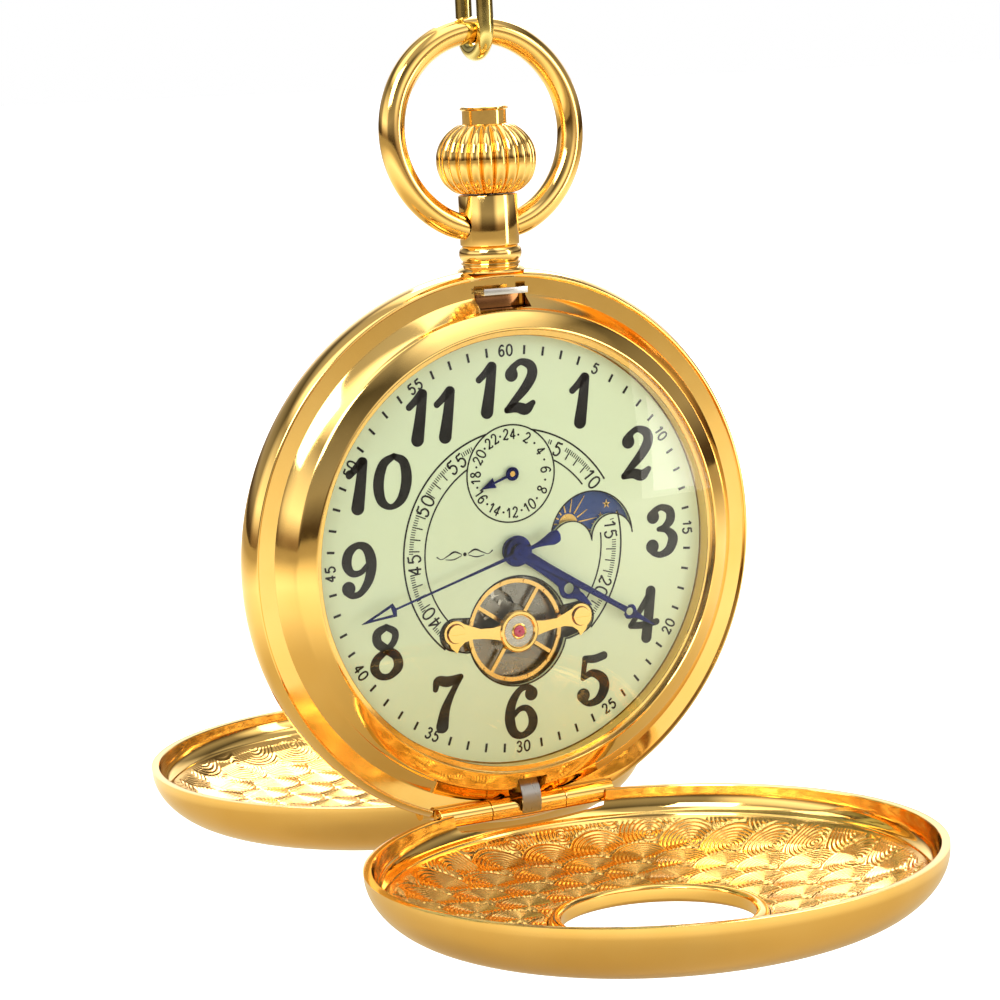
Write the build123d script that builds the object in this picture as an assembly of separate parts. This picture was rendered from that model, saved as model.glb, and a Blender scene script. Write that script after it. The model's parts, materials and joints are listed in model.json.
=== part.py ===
from build123d import *
import math
import os

# Double-hunter pocket watch, millimetres.
# Origin: on the hands' axis, half way through the thickness of the case band.
# +X is 3 o'clock, +Z is 12 o'clock (crown), -Y is the dial side, called the front.
# Both covers are modelled open, the bow upright.

os.makedirs("parts", exist_ok=True)

# ================================================================ driving dimensions
BAND_HALF = 1.75         # half the band's thickness at its lips
CASE_R = 25.0            # case band, outside radius
LEDGE_Y = 1.50           # ledge the cover rims close on
LEDGE_R = 24.25
BORE_R = 18.80           # bore that holds the movement
NECK_R = 20.90           # neck the bezels snap over
NECK_Y = 1.65
DIAL_Y = -2.05           # dial's front surface
DIAL_T = 0.40
DIAL_R = 19.12
REHAUT_R = 19.20         # bezel's bore around the dial
CRYSTAL_R = 19.70
CRYSTAL_EDGE = (3.42, 3.90)  # crystal rim, inner and outer distance from the mid plane
COVER_R = 24.20
COVER_EDGE_Y = 1.60      # closed rim's plane
WINDOW_R = 8.1           # round opening in the front cover
FRONT_OPEN = 87.7        # opening angles
REAR_OPEN = 91.0
HINGE_Y = 1.98
HINGE_Z = -23.30
KNUCKLE_R = 0.95
KNUCKLE_CLEAR_R = KNUCKLE_R + 0.12
KNUCKLE_IN = 3.70        # half length of the case's knuckle
KNUCKLE_OUT = 8.75       # half length of the whole barrel
PIN_R = 0.38
PIN_HOLE_R = 0.42
PENDANT_R = 2.60
PENDANT_BORE_R = 0.68
PENDANT_FOOT = 24.31
PENDANT_TOP = 31.5
BOW_Z = 28.9             # bow's pivot
BOW_R = 8.73             # wire's centre line
BOW_WIRE = 1.15
BOW_TILT = 3.4
LINK_R = 2.05
LINK_WIRE = 0.72
LINK_STRAIGHT = 5.2
CROWN_R = 4.42
CROWN_TOP = 37.6
BUTTON_TOP = 39.2

# Levels are (front y, back y)
PLATE = (-0.75, 0.45)
BRIDGE = (2.25, 2.75)
DIAL = (DIAL_Y, DIAL_Y + DIAL_T)
MINUTE_LEVEL = (-0.93, -0.80)
HOUR_LEVEL = (-1.12, -0.98)
DAY_LEVEL = (-1.35, -1.17)
ESCAPE_LEVEL = (-0.65, -0.50)
WINDING_LEVEL = (1.68, 1.88)
STUB_END = -0.30         # back end of the motion-work arbors, inside the plate
PIVOT_END = 2.62         # back end of the train arbors, inside the bridges

# Arbor places (x, z)
CENTRE = (0.0, 0.0)
BALANCE = (0.0, -7.3)
ESCAPE = (-3.08, -3.88)
FORK = (-1.534, -5.597)
THIRD = (4.417, -2.55)
BARREL = (-6.566, 6.155)
DAY = (0.0, 6.9)         # 24-hour hand
IDLER = (2.79, 2.28)
MOON = (7.80, 0.28)      # sun and moon disc
MINUTE = (-2.12, 2.12)   # minute wheel
SETTING_IN = (-3.20, 6.23)
SETTING_OUT = (-1.60, 9.90)
CROWN_WHEEL = (0.0, 14.2)
CLICK = (-15.73, 5.35)
LEVER = (3.6, 15.4)      # setting lever

# Screw places (x, z)
BARREL_POSTS = [(-16.4, 3.0), (-8.2, 15.1), (8.0, 14.0), (15.5, 3.5)]
TRAIN_POSTS = [(-15.5, -4.5), (-9.5, -13.0), (9.5, -13.0), (15.0, -6.5)]
CASE_SCREWS = [(-17.0, -1.2), (17.0, -1.2)]
BALANCE_SCREWS = [(-6.27, -6.7), (6.27, -6.7)]
COCK_SCREW = (-6.0, -4.0)
POST_HOLE_R = 0.37

FRONT = Plane(origin=(0, 0, 0), x_dir=(1, 0, 0), z_dir=(0, -1, 0))


# ================================================================ helpers
def save(solid, name):
    if isinstance(solid, (list, tuple)):
        solid = Compound(children=list(solid))
    export_step(solid, "parts/" + name + ".step")


def poly(points):
    return make_face(Polyline(*points, close=True))


def turn(points):
    """Ring about the Y axis from a closed (radius, y) outline."""
    return revolve(poly(points), Axis.Y, 360)


def turn_z(points):
    """Turned piece about the Z axis from a closed (radius, z) outline."""
    return revolve(Plane.XZ * poly(points), Axis.Z, 360)


def slab(face, y0, y1):
    """A flat outline in (x, z), given thickness from y0 to y1."""
    return FRONT * (Pos(0, 0, -y1) * extrude(face, y1 - y0))


def disc(centre, radius, y0, y1):
    return slab(Pos(*centre) * Circle(radius), y0, y1)


def bore(centre, radius):
    """Cutter for a hole right through a piece of the movement."""
    return disc(centre, radius, -5, 5)


def ring(centre, inner_r, outer_r, y0, y1):
    return slab(Pos(*centre) * (Circle(outer_r) - Circle(inner_r)), y0, y1)


def box(x0, x1, y0, y1, z0, z1):
    middle = Pos((x0 + x1) / 2, (y0 + y1) / 2, (z0 + z1) / 2)
    return middle * Box(x1 - x0, y1 - y0, z1 - z0)


def rod_x(y, z, radius, x0, x1):
    return Pos((x0 + x1) / 2, y, z) * (Rot(0, 90, 0) * Cylinder(radius, abs(x1 - x0)))


def rod_z(radius, z0, z1, x=0.0, y=0.0):
    return Pos(x, y, (z0 + z1) / 2) * Cylinder(radius, z1 - z0)


def hinge_rod(radius, x0, x1):
    """Rod on the front hinge's axis."""
    return rod_x(-HINGE_Y, HINGE_Z, radius, x0, x1)


def mirror_y(solid):
    return mirror(solid, about=Plane.XZ)


def symmetric(half):
    """Closed (x, z) outline from its left half, which ends at the tip on x = 0."""
    return half + [(-x, z) for x, z in half[-2::-1]]


def polar(centre, radius, degrees):
    t = math.radians(degrees)
    return (centre[0] + radius * math.cos(t), centre[1] + radius * math.sin(t))


def angle(start, end):
    return math.degrees(math.atan2(end[1] - start[1], end[0] - start[0]))


class Gear:
    """Wheel with slim tapered teeth, one of them centred on phase degrees."""
    PINION_TEETH = 12                # up to this count the teeth are shorter
    ROOT_HALF, TIP_HALF = 0.27, 0.09  # half widths of a tooth, in pitches

    def __init__(self, centre, teeth, module, phase):
        self.centre, self.teeth, self.module, self.phase = centre, teeth, module, phase

    def mate(self, centre, teeth):
        """Gear at another centre whose gap takes a tooth of this one."""
        line = angle(self.centre, centre)
        lead = (self.phase - line) % (360.0 / self.teeth)
        phase = line + 180.0 - lead * self.teeth / teeth + 180.0 / teeth
        return Gear(centre, teeth, self.module, phase)

    def outline(self):
        pitch_r = self.teeth * self.module / 2
        tip_r = pitch_r + (0.7 if self.teeth <= self.PINION_TEETH else 0.75) * self.module
        root_r = pitch_r - 1.1 * self.module
        pitch = 360.0 / self.teeth
        corners = ((root_r, -self.ROOT_HALF), (tip_r, -self.TIP_HALF),
                   (tip_r, self.TIP_HALF), (root_r, self.ROOT_HALF))
        return poly([polar(self.centre, radius, self.phase + i * pitch + offset * pitch)
                     for i in range(self.teeth) for radius, offset in corners])

    def solid(self, y0, y1):
        return slab(self.outline(), y0, y1)


def windows(centre, inner_r, outer_r, spokes, width, start=0.0):
    """Openings between the spokes of a wheel."""
    face = Circle(outer_r) - Circle(inner_r)
    for i in range(spokes):
        spoke = Pos(outer_r / 2 + 0.5, 0) * Rectangle(outer_r + 1, width)
        face = face - Rot(0, 0, start + i * 360.0 / spokes) * spoke
    return Pos(*centre) * face


def spiral(centre, r0, r1, turns, thickness, y0, y1, per_turn=28):
    count = int(turns * per_turn)
    outer, inner = [], []
    for i in range(count + 1):
        degrees = 360.0 * turns * i / count
        radius = r0 + (r1 - r0) * i / count
        outer.append(polar(centre, radius + thickness / 2, degrees))
        inner.append(polar(centre, radius - thickness / 2, degrees))
    return slab(poly(outer + inner[::-1]), y0, y1)


def screw(centre, shank, head, slot=None):
    """Shank and head are (radius, y0, y1); slot is (half x, half z, y0, y1)."""
    solid = disc(centre, *shank) + disc(centre, *head)
    if slot:
        half_x, half_z, y0, y1 = slot
        x, z = centre
        solid = solid - box(x - half_x, x + half_x, y0, y1, z - half_z, z + half_z)
    return solid


# ================================================================ case
# Hinge cutters and fixed knuckle, at the front hinge
hinge_clear = (hinge_rod(KNUCKLE_CLEAR_R, KNUCKLE_IN + 0.02, 9.1)
               + hinge_rod(KNUCKLE_CLEAR_R, -9.1, -KNUCKLE_IN - 0.02))
case_knuckle = hinge_rod(KNUCKLE_R, -KNUCKLE_IN, KNUCKLE_IN)
hinge_hole = hinge_rod(PIN_HOLE_R, -9.5, 9.5)
front_hinge = [hinge_clear, case_knuckle, hinge_hole]
rear_hinge = [mirror_y(solid) for solid in front_hinge]

# Middle case. BAND_RIM is the rounded outside of the band, (radius, y) from the front lip.
BAND_RIM = [(24.30, -BAND_HALF), (24.50, -1.68), (24.74, -1.28), (24.93, -0.72), (CASE_R, 0.0),
            (24.93, 0.72), (24.74, 1.28), (24.50, 1.68), (24.30, BAND_HALF)]
mid_case = turn(
    [(BORE_R, -NECK_Y), (NECK_R, -NECK_Y), (NECK_R, -LEDGE_Y), (LEDGE_R, -LEDGE_Y)] + BAND_RIM
    + [(LEDGE_R, LEDGE_Y), (NECK_R, LEDGE_Y), (NECK_R, NECK_Y), (BORE_R, NECK_Y)])
for clear, knuckle, hole in (front_hinge, rear_hinge):
    mid_case = mid_case - clear + knuckle - hole
# pocket for the catch under the front bezel, and the slot it rises through
mid_case = mid_case - box(-2.35, 2.35, -1.7, -0.6, 19.4, 22.6)
mid_case = mid_case - box(-2.5, 2.5, -1.7, -0.6, 22.4, 23.75)
# stem tunnel through the band and a socket for the pendant's foot
mid_case = mid_case - rod_z(PENDANT_BORE_R, 18.0, 26.0) - rod_z(1.50, 24.30, 26.0)
save(mid_case, "mid_case")

# Pendant: turned neck over the band, with a beaded foot; outline is (radius, z)
pendant = turn_z([
    (PENDANT_BORE_R, PENDANT_FOOT), (1.50, PENDANT_FOOT), (1.50, 24.85), (2.70, 24.85),
    (2.85, 25.05), (2.55, 25.28), (2.62, 25.45), (2.45, 25.62), (2.62, 25.85), (2.76, 26.2),
    (2.76, 26.5), (2.62, 26.85), (2.42, 27.02), (PENDANT_R, 27.12),
    (PENDANT_R, PENDANT_TOP - 0.15), (PENDANT_R - 0.15, PENDANT_TOP),
    (PENDANT_BORE_R, PENDANT_TOP)])
pendant = pendant - turn([(22.0, -1.9)] + BAND_RIM + [(22.0, 1.9)])
pendant = pendant + turn_z([(PENDANT_BORE_R, PENDANT_FOOT), (1.48, PENDANT_FOOT),
                            (1.48, 25.2), (PENDANT_BORE_R, 25.2)])
pendant = pendant - rod_x(0, BOW_Z, 0.76, -3.2, -2.0) - rod_x(0, BOW_Z, 0.76, 2.0, 3.2)
save(pendant, "pendant")

# Bezels: snap over the case's neck and carry the crystals; outline is (radius, y)
SEAT_R = CRYSTAL_R + 0.02
SNAP_R = NECK_R + 0.03
bezel = turn([
    (REHAUT_R, -1.66), (REHAUT_R, -3.40), (SEAT_R, -3.40), (SEAT_R, -3.94), (19.84, -4.00),
    (21.24, -3.27), (21.38, -3.14), (21.46, -2.98), (22.74, -1.51), (SNAP_R, -1.51),
    (SNAP_R, -1.66)])
bezel = bezel - hinge_clear - hinge_rod(KNUCKLE_R + 0.05, -4, 4)
# the front one has slots for the catch and the lift spring
front_bezel = (bezel - box(-2.5, 2.5, -3.3, -1.4, 21.55, 23.5)
               - box(-1.45, 1.45, -3.6, -1.4, -23.5, -20.35))
save(front_bezel, "front_bezel")
save(mirror_y(bezel), "rear_bezel")


# Crystals
def crystal(outer_rise, inner_rise):
    inner_r, steps = 19.0, 12
    edge_in, edge_out = CRYSTAL_EDGE
    points = [(CRYSTAL_R, -edge_in), (CRYSTAL_R, -edge_out)]
    for i in range(1, steps + 1):
        r = CRYSTAL_R * (1 - i / steps)
        points.append((r, -(edge_out + outer_rise * (1 - (r / CRYSTAL_R) ** 2))))
    for i in range(steps, -1, -1):
        r = inner_r * (1 - i / steps)
        points.append((r, -(edge_in + 0.02 + inner_rise * (1 - (r / inner_r) ** 2))))
    return turn(points)


save(crystal(1.60, 1.25), "front_crystal")
save(mirror_y(crystal(0.9, 0.75)), "rear_crystal")

# Covers, drawn closed at the front; outlines are (radius, y)
COVER_OUTER = [
    (COVER_R, -COVER_EDGE_Y), (24.18, -2.10), (24.12, -2.60), (23.91, -3.30), (23.55, -4.00),
    (23.06, -4.66), (22.44, -5.28), (21.72, -5.83), (20.9, -6.29), (20.0, -6.67),
    (19.0, -6.98), (18.0, -7.20), (17.0, -7.37), (15.0, -7.62), (13.0, -7.80), (11.0, -7.94)]
COVER_INNER = [
    (11.0, -7.30), (13.0, -7.14), (15.0, -6.95), (17.0, -6.66), (18.5, -6.34), (20.0, -5.86),
    (21.2, -5.26), (22.0, -4.66), (22.6, -4.00), (22.95, -3.72), (23.25, -3.30),
    (23.42, -2.60), (23.45, -COVER_EDGE_Y)]
WINDOW_LIP = [
    (9.75, -8.02), (9.65, -8.30), (9.30, -8.48), (8.85, -8.50), (8.45, -8.38),
    (WINDOW_R, -8.05), (WINDOW_R, -7.15), (8.22, -6.93), (8.55, -6.82), (8.95, -6.90),
    (9.15, -7.12), (9.2, -7.40)]
CLOSED_MIDDLE = [(8.0, -8.06), (4.0, -8.17), (0.0, -8.20), (0.0, -7.56), (4.0, -7.53),
                 (8.0, -7.44)]


def cover(middle):
    solid = turn(COVER_OUTER + middle + COVER_INNER)
    # notch that clears the band
    solid = solid - box(-7.7, 7.7, -4.10, -1.5, -25.5, -22.15)
    solid = solid - hinge_rod(KNUCKLE_CLEAR_R, -7.75, 7.75)
    for side in (-1, 1):
        solid = solid + hinge_rod(KNUCKLE_R, side * (KNUCKLE_IN + 0.06), side * KNUCKLE_OUT)
    return solid - hinge_hole


def swing(solid, y, degrees):
    """Open a cover about the hinge axis at this y."""
    return Pos(0, y, HINGE_Z) * (Rot(degrees, 0, 0) * (Pos(0, -y, -HINGE_Z) * solid))


# the front cover's rim is notched for the catch
front_closed = cover(WINDOW_LIP) - box(-2.7, 2.7, -2.95, -1.5, 22.8, 23.60)
save(swing(front_closed, -HINGE_Y, FRONT_OPEN), "front_cover")
save(swing(mirror_y(cover(CLOSED_MIDDLE)), HINGE_Y, -REAR_OPEN), "rear_cover")

# Hinge pins
pin = hinge_rod(PIN_R, -KNUCKLE_OUT + 0.35, KNUCKLE_OUT - 0.1)
save(pin, "front_hinge_pin")
save(mirror_y(pin), "rear_hinge_pin")

# Lift spring: a bent strip that rises through the bezel and lies over the knuckle; (y, z)
LIFT_STRIP = [
    (-2.35, -20.45), (-2.95, -21.15), (-3.32, -21.95), (-3.42, -22.7), (-3.38, -23.25),
    (-3.20, -23.75), (-3.06, -23.70), (-3.16, -23.2), (-3.18, -22.7), (-3.09, -22.05),
    (-2.76, -21.33), (-2.20, -20.65)]
save(extrude(Plane.YZ * poly(LIFT_STRIP), 0.95, both=True), "front_lift_spring")

# Catch: slides inward when the button is pressed
latch = box(-2.15, 2.15, -1.05, -0.75, 20.3, 23.05)
latch = latch + box(-2.15, 2.15, -2.75, -0.75, 22.80, 23.10)
latch = latch + box(-2.15, 2.15, -2.75, -2.45, 22.80, 23.40)
save(latch, "front_latch")

# Bow: a ring of round wire with two pivot pins in the pendant
bow_centre = BOW_Z + math.sqrt(BOW_R ** 2 - 3.1 ** 2)
bow = Pos(0, 0, bow_centre) * (Rot(90, 0, 0) * Torus(BOW_R, BOW_WIRE))
bow = bow - box(-2.70, 2.70, -2, 2, BOW_Z - 4, BOW_Z + 4)
for side in (-1, 1):
    bow = bow + rod_x(0, BOW_Z, 0.70, side * 2.1, side * 3.4)
bow = Pos(0, 0, BOW_Z) * (Rot(-BOW_TILT, 0, 0) * (Pos(0, 0, -BOW_Z) * bow))
save(bow, "bow")

# Chain link: two half rings joined by straight wires, at the top of the bow
bow_reach = bow_centre + BOW_R - BOW_Z
link_y = bow_reach * math.sin(math.radians(BOW_TILT))
link_z = BOW_Z + bow_reach * math.cos(math.radians(BOW_TILT))
link_ring = Rot(0, 90, 0) * Torus(LINK_R, LINK_WIRE)
link = link_ring - box(-3, 3, -4, 4, 0, 4)
link = link + Pos(0, 0, LINK_STRAIGHT) * (link_ring - box(-3, 3, -4, 4, -4, 0))
for y in (-LINK_R, LINK_R):
    link = link + rod_z(LINK_WIRE, 0, LINK_STRAIGHT, 0, y)
save(Pos(0, link_y, link_z + 0.08) * link, "chain_link")

# Crown: fluted onion on the hollow winding stem; outline is (radius, z)
FLUTES = 20
crown = turn_z([
    (0.57, 31.6), (2.55, 31.6), (3.20, 31.95), (3.90, 32.65), (4.28, 33.5), (CROWN_R, 34.40),
    (4.33, 35.3), (3.98, 36.15), (3.40, 36.9), (2.75, 37.42), (2.40, CROWN_TOP),
    (2.08, CROWN_TOP), (2.08, 35.0), (0.57, 35.0)])
crown = crown - [Rot(0, 0, i * 360.0 / FLUTES) * rod_z(0.26, 32.3, 36.7, CROWN_R + 0.02, 0)
                 for i in range(FLUTES)]
save(crown, "crown")

# Winding stem: round, then square, then a thin pivot at the inner end
stem = rod_z(0.55, 15.8, 34.0) + box(-0.37, 0.37, -0.37, 0.37, 12.68, 15.8)
stem = stem + rod_z(0.28, 11.75, 12.70)
stem = stem - rod_z(0.30, 23.4, 34.5)
save(stem, "winding_stem")

# Push button in the crown, and its spring
save(turn_z([(0.0, 24.4), (0.25, 24.4), (0.25, 37.0), (1.96, 37.0), (1.96, 38.90),
             (2.10, 38.92), (2.10, 39.05), (1.95, BUTTON_TOP), (0.0, BUTTON_TOP + 0.06)]),
     "push_button")
coil = Helix(pitch=0.5, height=1.5, radius=1.45, center=(0, 0, 35.22))
save(sweep(Plane(origin=coil @ 0, z_dir=coil % 0) * Circle(0.14), path=coil), "button_spring")

# ================================================================ dial and hands
# Dial, open over the balance and its bridge's feet, and over the sun and moon disc
openings = Pos(*BALANCE) * Circle(4.95)
for side in (-1, 1):
    foot = [(4.0, -5.6), (6.4, -5.50), (6.4, -8.25), (5.2, -8.6), (4.0, -8.6)]
    openings = (openings + Pos(side * 6.25, -6.85) * Circle(1.42)
                + poly([(side * x, z) for x, z in foot]))
moon_window = Pos(7.87, 0.3) * Circle(4.15)
moon_window = moon_window & (Pos(7.87, 5.3) * Rectangle(9.5, 10.0))
moon_window = moon_window - Pos(5.76, -0.15) * Circle(2.1) - Pos(9.98, 0.1) * Circle(2.1)
openings = openings + moon_window + Circle(1.12) + Pos(*DAY) * Circle(0.42)
dial = disc(CENTRE, DIAL_R, *DIAL) - slab(openings, DIAL[0] - 0.1, DIAL[1] + 0.1)
save(dial, "dial")


# Hands: half outlines (x, z) drawn at 12 o'clock, turned to a clockwise dial angle
def hand(half, front, hub_r, hole_r, degrees, eye=None):
    """eye is the (z, radius) of a round opening in the hand."""
    y0, y1 = front, front + 0.12
    solid = slab(poly(symmetric(half)) + Circle(hub_r) - Circle(hole_r), y0, y1)
    if eye:
        solid = solid - bore((0, eye[0]), eye[1])
    return Rot(0, degrees, 0) * solid


HOUR_HAND = [(-0.52, -0.2), (-0.42, 5.2), (-0.95, 6.45), (-0.42, 7.5), (0.0, 9.35)]
MINUTE_HAND = [(-0.48, -0.2), (-0.30, 12.3), (-0.75, 12.9), (-0.32, 13.5), (0.0, 16.0)]
# the minute hand narrows differently on its two sides of the eye
SECOND_HAND = [(-0.55, -4.1), (-0.62, -3.2), (-0.20, -0.6), (-0.10, 12.9), (-0.62, 13.1),
               (0.0, 16.35)]
DAY_HAND = [(-0.12, -0.9), (-0.12, 2.0), (-0.5, 1.9), (0.0, 3.35)]
save(hand(HOUR_HAND, -2.66, 1.40, 0.95, 128.5, eye=(6.45, 0.5)), "hour_hand")
save(hand(MINUTE_HAND, -3.06, 1.25, 0.69, 121.8, eye=(12.9, 0.36)), "minute_hand")
save(hand(SECOND_HAND, -3.46, 0.75, 0.21, 254.1), "second_hand")
save(Pos(DAY[0], 0, DAY[1]) * hand(DAY_HAND, -2.40, 0.62, 0.26, 251.0), "day_night_hand")


# ================================================================ motion works, under the dial
def stub(centre, radius, level):
    """Arbor from a motion-work wheel back into the plate."""
    return disc(centre, radius, level[1] - 0.02, STUB_END)


# Cannon pinion
cannon_gear = Gear(CENTRE, 12, 0.125, angle(CENTRE, MINUTE))
cannon = disc(CENTRE, 0.68, -3.06, -0.78) + cannon_gear.solid(-0.95, -0.78)
save(cannon - bore(CENTRE, 0.51), "cannon_pinion")

# Minute wheel and its pinion
minute_gear = cannon_gear.mate(MINUTE, 36)
minute_pinion = Gear(MINUTE, 10, 0.12, angle(MINUTE, CENTRE))
minute_wheel = slab(minute_gear.outline() - windows(MINUTE, 0.95, 1.75, 4, 0.3), *MINUTE_LEVEL)
minute_wheel = minute_wheel + minute_pinion.solid(-1.13, MINUTE_LEVEL[0] + 0.01)
minute_wheel = minute_wheel + stub(MINUTE, 0.18, MINUTE_LEVEL)
save(minute_wheel, "minute_wheel")

# Hour wheel, with a second wheel that drives the day train
day_driver = Gear(CENTRE, 24, 0.15, angle(CENTRE, IDLER))
hour_wheel = minute_pinion.mate(CENTRE, 40).solid(*HOUR_LEVEL) + day_driver.solid(*DAY_LEVEL)
hour_wheel = hour_wheel + disc(CENTRE, 0.95, -2.66, HOUR_LEVEL[1]) - bore(CENTRE, 0.73)
save(hour_wheel, "hour_wheel")

# Day train: idler, 24-hour wheel, sun and moon disc
idler_gear = day_driver.mate(IDLER, 24)
save(idler_gear.solid(*DAY_LEVEL) + stub(IDLER, 0.2, DAY_LEVEL), "intermediate_wheel")
day_face = idler_gear.mate(DAY, 48).outline() - windows(DAY, 1.0, 2.9, 4, 0.4)
save(slab(day_face, *DAY_LEVEL) + disc(DAY, 0.25, -2.40, STUB_END), "day_wheel")
moon = idler_gear.mate(MOON, 48).solid(*DAY_LEVEL) + disc(MOON, 4.32, -1.58, -1.46)
moon = moon + disc(MOON, 0.6, -1.5, -1.3) + stub(MOON, 0.25, DAY_LEVEL)
save(moon, "sun_moon_disc")


# Setting wheels
def setting_wheel(gear):
    face = gear.outline() - windows(gear.centre, 0.8, 1.5, 3, 0.3)
    return slab(face, *MINUTE_LEVEL) + stub(gear.centre, 0.2, MINUTE_LEVEL)


setting_gear = minute_gear.mate(SETTING_IN, 32)
save(setting_wheel(setting_gear), "setting_wheel_inner")
save(setting_wheel(setting_gear.mate(SETTING_OUT, 32)), "setting_wheel_outer")

# ================================================================ movement
# Main plate, with a block for the stem, a recess over the barrel, and posts at its back
plate = disc(CENTRE, 18.70, *PLATE)
plate = plate + box(-2.7, 2.7, -0.95, 0.95, 12.25, 18.3) - disc(BARREL, 8.40, 0.60, 2.0)
POST_FOOT = PLATE[1] - 0.1
for post in BARREL_POSTS + TRAIN_POSTS:
    plate = plate + disc(post, 0.80, POST_FOOT, BRIDGE[0])
plate = plate + disc(CLICK, 0.75, POST_FOOT, 1.62)
for post in CASE_SCREWS:
    plate = plate + disc(post, 1.0, POST_FOOT, 1.64)
# wells for the balance and escapement, open to the front
wells = Pos(*BALANCE) * Circle(2.3) + Pos(*FORK) * Circle(2.0) + Pos(*ESCAPE) * Circle(2.35)
plate = plate - slab(wells, PLATE[0] - 0.1, -0.10)
# pinion slot, stem bores and the setting lever's notch
plate = plate - box(-1.5, 1.5, -1.2, 1.2, 12.6, 17.0) - rod_z(0.62, 16.5, 19.0)
plate = plate - rod_z(0.32, 11.6, 13.0) - box(-1.9, 1.9, 0.40, 1.2, 12.3, 17.6)
plate = plate - box(0.5, 1.75, -1.2, -0.35, 16.9, 18.5)
PIVOT_HOLES = [  # (place, radius)
    (CENTRE, 0.55), (MINUTE, 0.21), (IDLER, 0.23), (DAY, 0.28), (MOON, 0.28),
    (SETTING_IN, 0.23), (SETTING_OUT, 0.23), (THIRD, 0.18), (ESCAPE, 0.32), (FORK, 0.15),
    (BARREL, 0.53), (BALANCE, 0.16), (LEVER, 0.33)]
for place, radius in PIVOT_HOLES:
    plate = plate - bore(place, radius)
for post in BARREL_POSTS + TRAIN_POSTS:
    plate = plate - disc(post, POST_HOLE_R, 0.9, 3.0)
plate = plate - disc(CLICK, POST_HOLE_R, 0.9, 2.0)
for post in CASE_SCREWS:
    plate = plate - disc(post, POST_HOLE_R, 0.7, 2.0)
for place in BALANCE_SCREWS:
    plate = plate - disc(place, 0.32, -1.0, 0.3)
plate = plate - disc(COCK_SCREW, 0.27, -1.0, 0.3)
save(plate, "main_plate")

# Barrel, mainspring and arbor
centre_pinion = Gear(CENTRE, 10, 0.2, angle(CENTRE, BARREL))
barrel = centre_pinion.mate(BARREL, 80).solid(0.78, 1.08) + disc(BARREL, 7.6, 1.0, 1.60)
barrel = barrel - disc(BARREL, 7.15, 0.93, 1.46) - bore(BARREL, 0.85)
save(barrel, "barrel")
save(spiral(BARREL, 1.35, 6.95, 7, 0.16, 0.98, 1.42), "mainspring")
arbor = disc(BARREL, 0.50, 0.15, 0.76) + disc(BARREL, 0.80, 0.76, 1.66)
arbor = arbor + disc(BARREL, 0.62, 1.66, 1.92) + disc(BARREL, 0.50, 1.92, PIVOT_END)
save(arbor, "barrel_arbor")

# Crown wheel, with a toothed ring in front of it, and ratchet wheel
CROWN_TEETH, RATCHET_TEETH = 40, 64
wind_module = math.dist(CROWN_WHEEL, BARREL) / ((CROWN_TEETH + RATCHET_TEETH) / 2)
crown_gear = Gear(CROWN_WHEEL, CROWN_TEETH, wind_module, angle(CROWN_WHEEL, BARREL))
ring_gear = Gear(CROWN_WHEEL, 20, 0.2, 99.0)
crown_wheel = crown_gear.solid(*WINDING_LEVEL)
crown_wheel = crown_wheel + slab(ring_gear.outline() - Pos(*CROWN_WHEEL) * Circle(1.82),
                                 1.26, 1.70)
save(crown_wheel - bore(CROWN_WHEEL, 0.53), "crown_wheel")
ratchet = crown_gear.mate(BARREL, RATCHET_TEETH).solid(*WINDING_LEVEL)
save(ratchet - bore(BARREL, 0.63), "ratchet_wheel")


# Pinions on the stem's axis
def stem_pinion(module, phase, z0, z1):
    """12 teeth; phase counts from +X towards +Y."""
    return Pos(0, 0, z0) * extrude(Gear(CENTRE, 12, module, phase).outline(), z1 - z0)


save(stem_pinion(0.2, 90.0, 15.90, 16.60) - rod_z(0.60, 15, 17), "winding_pinion")
sliding = rod_z(1.0, 13.05, 14.0) + rod_z(0.72, 14.0, 14.7) + rod_z(1.05, 14.7, 15.4)
sliding = sliding + stem_pinion(0.18, 0.0, 12.95, 13.5)
sliding = sliding - box(-0.42, 0.42, -0.42, 0.42, 12, 16)
sliding = sliding - (Pos(0, 0, 14.35) * (Cylinder(1.2, 0.4) - Cylinder(0.72, 0.4)))
save(sliding, "sliding_pinion")

# Setting lever
lever = slab(poly([(4.4, 14.9), (4.2, 16.1), (1.6, 17.75), (0.75, 17.75), (0.55, 17.3),
                   (2.2, 16.75), (2.9, 14.9)]), -1.25, -1.05)
lever = lever + disc(LEVER, 0.30, -1.10, STUB_END) + disc((0.82, 17.45), 0.20, -1.10, -0.42)
save(lever, "setting_lever")

# Click and its spring
click_arm = poly([(-15.9, 6.25), (-13.35, 7.50), (-12.95, 7.20), (-13.15, 6.80), (-15.0, 4.85)])
click = Pos(*CLICK) * Circle(0.95) + click_arm - Pos(*CLICK) * Circle(0.40)
save(slab(click, *WINDING_LEVEL), "click")
spring = slab(poly([(-14.9, 9.65), (-14.55, 10.1), (-14.2, 9.9), (-13.75, 8.15),
                    (-13.9, 8.05), (-14.45, 9.4)]), 1.70, 1.86)
save(spring + disc((-14.55, 9.8), 0.3, 0.46, 1.86), "click_spring")

# Centre wheel
centre_gear = Gear(CENTRE, 60, 0.15, angle(CENTRE, THIRD))
centre = slab(centre_gear.outline() - windows(CENTRE, 1.3, 3.7, 5, 0.5), 0.52, 0.68)
centre = centre + centre_pinion.solid(0.66, 1.12)
centre = centre + disc(CENTRE, 0.50, -3.0, 1.16) - bore(CENTRE, 0.25)
save(centre, "centre_wheel")

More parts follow.
